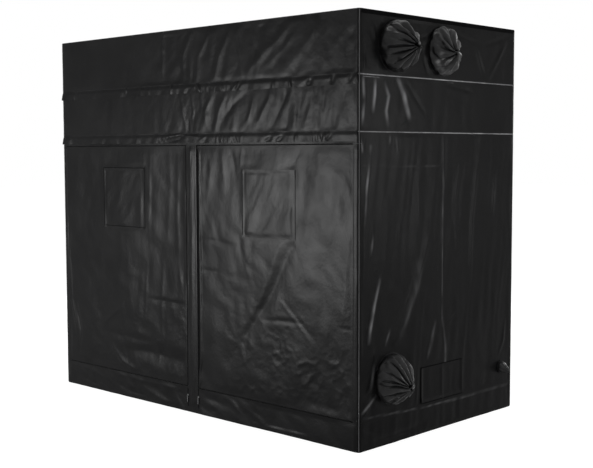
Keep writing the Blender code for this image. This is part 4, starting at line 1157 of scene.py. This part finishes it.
def door_relief(way):
    """A door's folds. Its edges lie in their zips and round its window it is flat."""
    shown = metres(DOOR_FOLDS if way > 0 else LEFT_DOOR_FOLDS, on_front)

    def relief(u, z):
        x = way * u
        held = held_edges(x, z, (CENTRE_HALF, HINGE_X), (SILL, HEAD), 0.030, 0.060)
        beside = np.maximum(np.abs(x - WINDOW_X) - WINDOW_HALF, np.abs(z - WINDOW_Z) - WINDOW_RISE)
        held = held * fade(beside, -0.010, 0.045)
        low = 1 - fade(z, 0.45, 0.45)
        patchy = 0.55 + 0.9 * noise(u / 0.22, z / 0.18, 189)
        busy = low * patchy * (fade(x, 0.25, 0.30) if way > 0 else 0.5)
        bunch = (crumple(u, z, 191 + way, 0.095) - 0.35) * 0.0036 * busy
        small = (crumple(u, z, 193 + way, 0.038) - 0.35) * 0.0012 * (0.20 + busy)
        drape = swells(u, z, 195 + way, 7, 0.080, 0.50) * (0.0010 if way > 0 else 0.0009)
        wide = noise(u / 0.42, z / 0.62, 197 + way) * (0.0042 if way > 0 else 0.0060)
        rumple = swells(u, z, 199 + way, -40, 0.10, 0.22) * 0.0016
        edge = np.exp(-((x - CENTRE_HALF - 0.010) / 0.007) ** 2)
        edge = edge * fade(z, SILL, 0.03) * fade(HEAD - z, 0, 0.03)
        roll = edge * (0.0038 + 0.0030 * noise(z / 0.11, 0 * z, 201 + way))
        if way < 0:
            roll = 0.3 * roll * fade(HEAD - z, 0.16, 0.05)
        return held * (bunch + small + drape + wide + rumple + crests(u, z, shown)) + roll

    return relief


def slit_warp(u, z):
    """Moves the door's inner edge to the slit in the photograph, and the cloth beside it a little."""
    place = sorted((z, x) for x, z in on_front(SLIT))
    heights, spots = [p[0] for p in place], [p[1] for p in place]
    shift = np.clip(np.interp(z, heights, spots) - min(spots) + 0.001, 0.004, 0.018)
    shift = shift * fade(z, SILL, 0.05) * fade(HEAD - z, 0, 0.05)
    return u + shift * (1 - fade(u, CENTRE_HALF + ZIP_SLOT, 0.09))


def build_doors():
    """Each door with its window hole, and what its window needs."""
    inner, outer = CENTRE_HALF + ZIP_SLOT, HINGE_X - SEAM_GAP
    low, high = SILL + ZIP_SLOT, HEAD - ZIP_SLOT
    wide, tall = WINDOW_HALF - WINDOW_BORDER, WINDOW_RISE - WINDOW_BORDER
    for side, way, *_ in SIDES:
        us, zs = on_way(even(inner, outer, FINE_CELL), way), even(low, high, FINE_CELL)
        node = side + "_door"
        area = (outer - inner) * (high - low) - 4 * wide * tall
        cloth(node + "_cloth", node, front_place, us, zs, door_relief(way), "hung", "header_cloth", area,
              body=node, holes=[("square", way * WINDOW_X, WINDOW_Z, wide, tall)],
              warp=slit_warp if way > 0 else None)
        build_window(side, way)


def edging(node, runs, place, way, relief):
    """Narrow black tape over the edges of a cover, along straight runs on its face. Its near-black tone paints
    the shadow line along those edges.
    """
    parts = []
    for one, two in runs:
        count = max(2, int(math.dist(one, two) / 0.02))
        share = np.linspace(0, 1, count)
        u, z = (one[k] + (two[k] - one[k]) * share for k in range(2))
        height = relief(way * u, z) + 0.0004
        level = abs(two[0] - one[0]) > abs(two[1] - one[1])
        section = []
        for across, lift in ((-1, -0.0018), (-1, 0.0004), (1, 0.0004), (1, -0.0018)):
            aside = across * EDGE_WIDTH / 2
            x, y, east, north = place(way * (u if level else u + aside))
            out = height + lift
            section.append(np.stack([x + east * out, y + north * out, z + aside if level else z], axis=1))
        faces = [(4 * k + a, 4 * k + (a + 1) % 4, 4 * k + 4 + (a + 1) % 4, 4 * k + 4 + a)
                 for k in range(count - 1) for a in range(4)]
        last = 4 * (count - 1)
        faces += [(3, 2, 1, 0), (last, last + 1, last + 2, last + 3)]
        parts.append((np.stack(section, axis=1).reshape(-1, 3), np.array(faces)))
    add_parts(node + "_edge", parts, EDGE_TAPE, body=node)


def build_window(side, way):
    """Clear film behind the hole, hook strips round it, and the cover with a bound edge."""
    door = side + "_door"
    left, right = WINDOW_X - WINDOW_HALF, WINDOW_X + WINDOW_HALF
    foot, top = WINDOW_Z - WINDOW_RISE, WINDOW_Z + WINDOW_RISE

    def film_relief(u, z):
        held = held_edges(way * u, z, (left, right), (foot, top), 0.05, 0.05)
        return -CLOTH - SEAM_GAP - held * (0.0015 + 0.0012 * noise(u / 0.09, z / 0.12, 211))

    us = on_way(even(left + PANE_INSET, right - PANE_INSET, 0.012), way)
    zs = even(foot + PANE_INSET, top - PANE_INSET, 0.012)
    film = cloth(side + "_window_film", side + "_window", front_place, us, zs, film_relief, "stretched",
                 door + "_cloth", body=door, front=FILM, back=FILM, thick=PANE, free=True)

    strips = []
    half = WINDOW_BORDER / 2
    for a, b, c, d in ((left + half, foot, left + half, top), (right - half, foot, right - half, top),
                       (left + WINDOW_BORDER, top - half, right - WINDOW_BORDER, top - half)):
        one, two = (way * a, -HALF_Y, b), (way * c, -HALF_Y, d)
        length = (Vector(one) - Vector(two)).length
        strips.append(straight_blocks(one, two, length, (length, WINDOW_BORDER - 0.003, 0.0009), 0.0))
    add_parts(side + "_hook_strips", strips, WEBBING, body=door)

    def cover_relief(u, z):
        x = way * u
        edge = np.minimum(np.minimum(x - left, right - x), top - z)
        hem = 0.0011 * (1 - fade(edge, HEM_TAPE, 0.002)) + 0.0009 * np.exp(-((edge - 0.003) / 0.003) ** 2)
        loose = 0.0006 * (1 - fade(right - x, 0.0, 0.07)) * fade(z, foot, 0.12)
        wavy = 0.6 + 0.4 * noise(u / 0.09, z * 0, 221 + way)
        loose = loose + 0.002 * (1 - fade(top - z, 0.0, 0.05)) * wavy
        soft = held_edges(x, z, (left, right), (foot, top), 0.04, 0.04)
        folds = swells(u, z, 223 + way, 30, 0.07, 0.25) * 0.0016 + noise(u / 0.16, z / 0.2, 225) * 0.0022
        pressed = 0.55 + 0.45 * fade(right - x if way > 0 else x - left, 0.0, 0.05)
        return pressed * (0.0026 + hem) + loose + soft * (folds + 0.0015)

    node = side + "_window_flap"
    clear = foot + 0.012
    # Black edging only where shadow lines fall, as painted shadow: the right window's inner upright, and the
    # left window's outer upright, top and bottom
    edges = [((left, clear), (left, top))]
    if way < 0:
        edges = [((right, clear), (right, top)), ((left, top), (right, top)), ((left, clear), (right, clear))]
    edging(node, edges, front_place, way, cover_relief)
    us = on_way(even(left, right, COVER_CELL), way)
    cloth(node + "_cloth", node, front_place, us, even(foot, top, COVER_CELL), cover_relief, "hung",
          door + "_cloth", body=node, back=CANVAS)


def build_vents():
    """A vent at each end: net inside and a cover outside, sewn along its upper edge."""
    low, high = VENT
    net_us = even(-high.y + PANE_INSET, high.y - PANE_INSET, 0.015)
    net_zs = even(VENT_Z - VENT_RISE + PANE_INSET, VENT_Z + VENT_RISE - PANE_INSET, 0.015)
    us, zs = even(-high.y, high.y, 0.0075), even(low.z, high.z, 0.0075)
    edges = [((-high.y, z), (high.y, z)) for z in (high.z, low.z)]

    def net_relief(u, z):
        return -CLOTH - SEAM_GAP + 0 * u

    def cover_relief(u, z):
        edge = np.minimum(np.minimum(u + high.y, high.y - u), z - low.z)
        hem = 0.0012 * (1 - fade(edge, HEM_TAPE, 0.002))
        loose = 0.0030 * (1 - fade(z - low.z, 0, 0.06)) + 0.0020 * (1 - fade(edge, 0, 0.03))
        press = 0.0035 * np.exp(-np.abs(u) / 0.010) + swells(u, z, 231, 5, 0.06, 0.3) * 0.0012
        return high.x - HALF_X + hem + loose + press * fade(high.z - z, 0, 0.03)

    for side, _, place, _ in SIDES:
        wall = side + "_wall_cloth"
        net = cloth(side + "_vent_net", side + "_vent_mesh", place, net_us, net_zs, net_relief, "stretched",
                    wall, front=NET, back=NET, thick=PANE, free=True)
        node = side + "_vent_flap"
        # Black edging on the cover's upper and lower edges only, painting their shadow lines
        edging(node, edges, place, 1, cover_relief)
        cloth(node + "_cloth", node, place, us, zs, cover_relief, "hung", wall, body=node, back=CANVAS)


def sock_cloth(side, way, spot, pleats, seed, twist, flat, droop, rough):
    """A cloth tube drawn shut: a pleated dome whose puckered end turns in, on a sewn collar."""
    name = side + "_" + spot + "_sock_cloth"
    small = spot == "cable"
    node = side + "_" + spot + ("_sock" if small else "_duct_sock")
    low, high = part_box(node)
    centre, collar = port_of(node)
    rim = collar - (0.006 if small else 0.010)
    reach = (high.x - low.x) * flat
    rng = np.random.RandomState(seed)
    rings = np.linspace(0, 1, 14 if small else 34)
    at, girth = (np.interp(rings, np.linspace(0, 1, len(SOCK_PROFILE)), part) for part in zip(*SOCK_PROFILE))
    steps = pleats * 10
    turn = np.arange(steps) / steps * 2 * math.pi
    bounds = np.sort((np.arange(pleats) + rng.uniform(-0.22, 0.22, pleats)) / pleats)
    bounds = np.concatenate([bounds, [bounds[0] + 1]])
    share = (turn / (2 * math.pi) - bounds[0]) % 1 + bounds[0]
    cell = np.clip(np.searchsorted(bounds, share, side="right") - 1, 0, pleats - 1)
    local = (share - bounds[cell]) / (bounds[cell + 1] - bounds[cell])
    spans = ((0.38, 0.62), (0.75, 1.30), (0.02, 0.30))
    peak, strong, starts = (rng.uniform(*span, pleats)[cell] for span in spans)
    saw = np.where(local < peak, local / peak, (1 - local) / (1 - peak))
    ridge = 1 - (1 - saw) ** 2.2
    outer, inner = [], []
    for t, a, g in zip(rings, at, girth):
        full = max(0.0, 1 - g)
        depth = (0.055 * rim + 0.42 * rim * full ** 0.8 * g) * strong
        depth = depth * fade(np.full(steps, t), 0.0, 0.10 + starts) if t < 0.9 else depth * 0.5
        bend = noise(turn * 2.2 + seed, np.full(steps, a * 3.0), seed + 1) * 0.085 * rim
        bend = bend + rough * rim * noise(turn * 3.5 + seed, np.full(steps, t * 6.0), seed + 4)
        r = rim * g + depth * (ridge - 0.55) + bend * np.sin(math.pi * min(1.0, a * 1.05))
        crinkle = 0 * turn
        if not small:
            spread = np.full(steps, 1.4 * reach * t)
            away = np.clip(4 * np.sin(turn / 2), 0, 1) * math.sin(math.pi * min(1.0, t * 1.1))
            crinkle = away * 0.0060 * (crumple(rim * turn, spread, seed + 6, 0.050) - 0.35)
            crinkle = crinkle + away * 0.0030 * (crumple(rim * turn, spread, seed + 7, 0.026) - 0.35)
            r = r + crinkle
        spin = turn + twist * a ** 2 + 0.10 * noise(turn * 1.5, np.full(steps, a * 2.0), seed + 2) * a
        lobes = 0.07 * rim * (1 - g) * np.sin(3 * turn + seed)
        push = reach * a + depth * (ridge - 0.5) * 0.8 * (1 - g) - lobes + crinkle * (1 - 0.5 * g)
        for grid, inset in ((outer, 0.0), (inner, CLOTH)):
            rr = np.maximum(r - inset, 0.001)
            x = way * (HALF_X + SEAM_GAP + 0.0010 + np.maximum(push - inset * 0.6 * full, 0.0))
            z = centre.z + rr * np.sin(spin) - droop * a * a
            grid.append(np.stack([x, centre.y + rr * np.cos(spin), z], axis=1))
    outer, inner = (np.concatenate([g, g[:, :1]], axis=1) for g in (np.array(outer), np.array(inner)))
    item = add_shell(name, outer, inner, SOCK_CLOTH, CANVAS, way > 0)
    weld(item)
    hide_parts(node)
    collar_band(name + "_collar", way, centre, collar, rim)


def weld(item):
    """Joins the seam of a ring of points."""
    item.modifiers.new("weld", "WELD").merge_threshold = 0.00005


def collar_band(name, way, centre, collar, rim):
    """The flat ring that holds a sock, with a rolled outer edge."""
    profile = ((rim - 0.012, 0.0004), (rim - 0.004, 0.0016), (rim + 0.001, 0.0020), (collar - 0.003, 0.0019),
               (collar, 0.0012), (collar, 0.0001))
    turn = np.arange(COLLAR_STEPS + 1) / COLLAR_STEPS * 2 * math.pi

    def ring(radius, out):
        x = way * (HALF_X + SEAM_GAP + out) + 0 * turn
        return np.stack([x, centre.y + radius * np.cos(turn), centre.z + radius * np.sin(turn)], axis=1)

    outer = np.array([ring(radius, out) for radius, out in profile])
    inner = np.array([ring(radius, 0) for radius, _ in profile])
    weld(add_shell(name, outer, inner, WEBBING, WEBBING, way > 0))


def build_socks():
    """Three gathered duct socks and a small cable sock at each end."""
    for side, way, *_ in SIDES:
        for spot, pleats, seed, *shape in SOCKS:
            sock_cloth(side, way, spot, pleats, seed if way > 0 else seed + 40, *shape)


def build_trims():
    """Piping round the roof and up the corners."""
    tube("roof_piping", plan_ring(0.001, HEIGHT - 0.0025, PIPING_CELL), WEBBING, closed=True)
    bow = CORNER * 0.72
    heights = even(0.004, HEIGHT - 0.004, PIPING_CELL)
    for row, y in (("front", -POST_Y), ("rear", POST_Y)):
        for side, way, *_ in reversed(SIDES):
            rng = np.random.RandomState(400 + way)
            shake = [0.0006 * rng.uniform(-1, 1) for _ in heights]
            path = [(way * (POST_X + bow), y + math.copysign(bow, y) + s, z) for z, s in zip(heights, shake)]
            # The corner piping's pale grey paints the sheen along the corners
            tube(row + "_" + side + "_corner_piping", path, PIPING_WITH_SHEEN)


def build_tray():
    """The loose spill tray: a thin sheet with rounded corners and a wavy rim."""
    low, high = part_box("spill_tray")
    depth, hx, hy = high.z - low.z, high.x, high.y
    wall, corner, step = 0.0008, 0.012, 0.05
    outline = []
    for k, (east, north) in enumerate(((1, 1), (-1, 1), (-1, -1), (1, -1))):
        for quarter in range(5):
            a = math.radians(90 * k + 90 * quarter / 4)
            x, y = east * (hx - corner), north * (hy - corner)
            outline.append((x + corner * math.cos(a), y + corner * math.sin(a)))
    ring = []
    for one, two in zip(outline, outline[1:] + outline[:1]):
        long = math.dist(one, two)
        for k in range(max(1, round(long / step))):
            t = k * step / max(long, step)
            ring.append((one[0] + (two[0] - one[0]) * t, one[1] + (two[1] - one[1]) * t))
    ring = np.array(ring + ring[:1])
    gone = np.arange(len(ring)) * step
    inset = np.array([1 - wall / hx, 1 - wall / hy, 1])
    outer, inner = [], []
    for z in np.concatenate([[0.0], even(0.004, depth, 0.02)]):
        wave = 0.0022 * noise(gone / 0.22, np.full(len(ring), z * 6), 501) * z / depth
        x, y = (ring[:, k] * (1 - (0.001 + np.abs(wave)) / half) for k, half in enumerate((hx, hy)))
        outer.append(np.stack([x, y, np.full(len(ring), low.z + z)], axis=1))
        inner.append(outer[-1] * inset + np.array([0, 0, wall if z == 0 else 0]))
    points, faces, slots, _ = shell(np.array(outer), np.array(inner), True)
    count, n = len(points), len(ring) - 1
    points = np.concatenate([points, outer[0][:-1], inner[0][:-1]])
    base = [list(range(count + n - 1, count - 1, -1)), list(range(count + n, count + 2 * n))]
    item = add_object("spill_tray_sheet", points, list(faces) + base, [TRAY, TRAY], list(slots) + [0, 0])
    weld(item)
    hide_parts("spill_tray")


def dress_frame():
    """Poles, rails, bars, sliders and pulls keep their shape and get their finish."""
    for endings, finish in ((("_post", "_rail", "_bar"), STEEL), (("_slider", "_pull"), ZIP_METAL)):
        for name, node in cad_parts.items():
            if name.endswith(endings):
                node.data.materials.clear()
                node.data.materials.append(finish)


def shown_to(add, maths):
    """1 for the rays that the background is shown to: camera, glossy and transmission rays."""
    rays = add("LightPath", {}).outputs
    seen = maths("MAXIMUM", rays["Is Camera Ray"], rays["Is Glossy Ray"])
    return maths("MAXIMUM", seen, rays["Is Transmission Ray"])


def build_stage():
    """A white floor and background, a softbox that the front mirrors and weaker lamps all round."""
    scene = bpy.context.scene
    scene.view_settings.view_transform = "Standard"
    world = bpy.data.worlds.new("studio")
    scene.world = world
    world.use_nodes = True
    world.node_tree.nodes.clear()
    add, maths = node_tools(world.node_tree)
    light, white = (add("Background", {"Color": (1, 1, 1, 1), "Strength": level})
                    for level in (WORLD_LEVEL, 1.0))
    mix = add("MixShader", {"Fac": shown_to(add, maths), 1: light.outputs["Background"],
                            2: white.outputs["Background"]})
    add("OutputWorld", {"Surface": mix.outputs["Shader"]})

    mesh = bpy.data.meshes.new("floor")
    ways = ((-1, -1), (1, -1), (1, 1), (-1, 1))
    mesh.from_pydata([(a * FLOOR_HALF, b * FLOOR_HALF, -0.0005) for a, b in ways], [], [(0, 1, 2, 3)])
    floor = bpy.data.objects.new("floor", mesh)
    scene.collection.objects.link(floor)
    ground = bpy.data.materials.new("pale_floor")
    ground.use_nodes = True
    nodes = ground.node_tree.nodes
    add, maths = node_tools(ground.node_tree)
    shader = add(nodes["Principled BSDF"], {"Base Color": (0.70, 0.70, 0.70, 1), "Roughness": 0.9,
                                            "Specular IOR Level": 0.1})
    glow = add("Emission", {"Strength": 1.52})
    mix = add("MixShader", {"Fac": maths("MULTIPLY", shown_to(add, maths), 0.60), 1: shader.outputs["BSDF"],
                            2: glow.outputs["Emission"]})
    add(nodes["Material Output"], {"Surface": mix.outputs["Shader"]})
    mesh.materials.append(ground)

    for name, place, aim, size, power in LAMPS:
        lamp = bpy.data.lights.new(name, "AREA")
        lamp.shape = "RECTANGLE"
        lamp.size, lamp.size_y = size
        lamp.energy = power
        item = bpy.data.objects.new(name, lamp)
        item.location = place
        item.rotation_euler = (Vector(aim) - Vector(place)).to_track_quat("-Z", "Y").to_euler()
        item.visible_camera = False
        scene.collection.objects.link(item)


def build_camera():
    """The photograph's camera."""
    camera = bpy.data.cameras.new("photo_camera")
    camera.sensor_fit = "HORIZONTAL"
    camera.sensor_width = SENSOR_MM
    camera.lens = FOCAL_PX * SENSOR_MM / PHOTO_WIDTH_PX
    camera.clip_start, camera.clip_end = 0.05, 200
    item = bpy.data.objects.new("photo_camera", camera)
    right, up, ahead = camera_axes()
    item.matrix_world = Matrix.Translation(CAMERA_PLACE) @ Matrix((right, up, -ahead)).transposed().to_4x4()
    bpy.context.scene.collection.objects.link(item)
    bpy.context.scene.camera = item


build_camera()
build_bands()
build_roof_hems()
build_walls()
build_roof_and_floor()
build_ring_zips()
build_storm_flaps()
build_surround()
build_door_zips()
build_doors()
build_vents()
build_socks()
build_trims()
build_tray()
dress_frame()
build_stage()
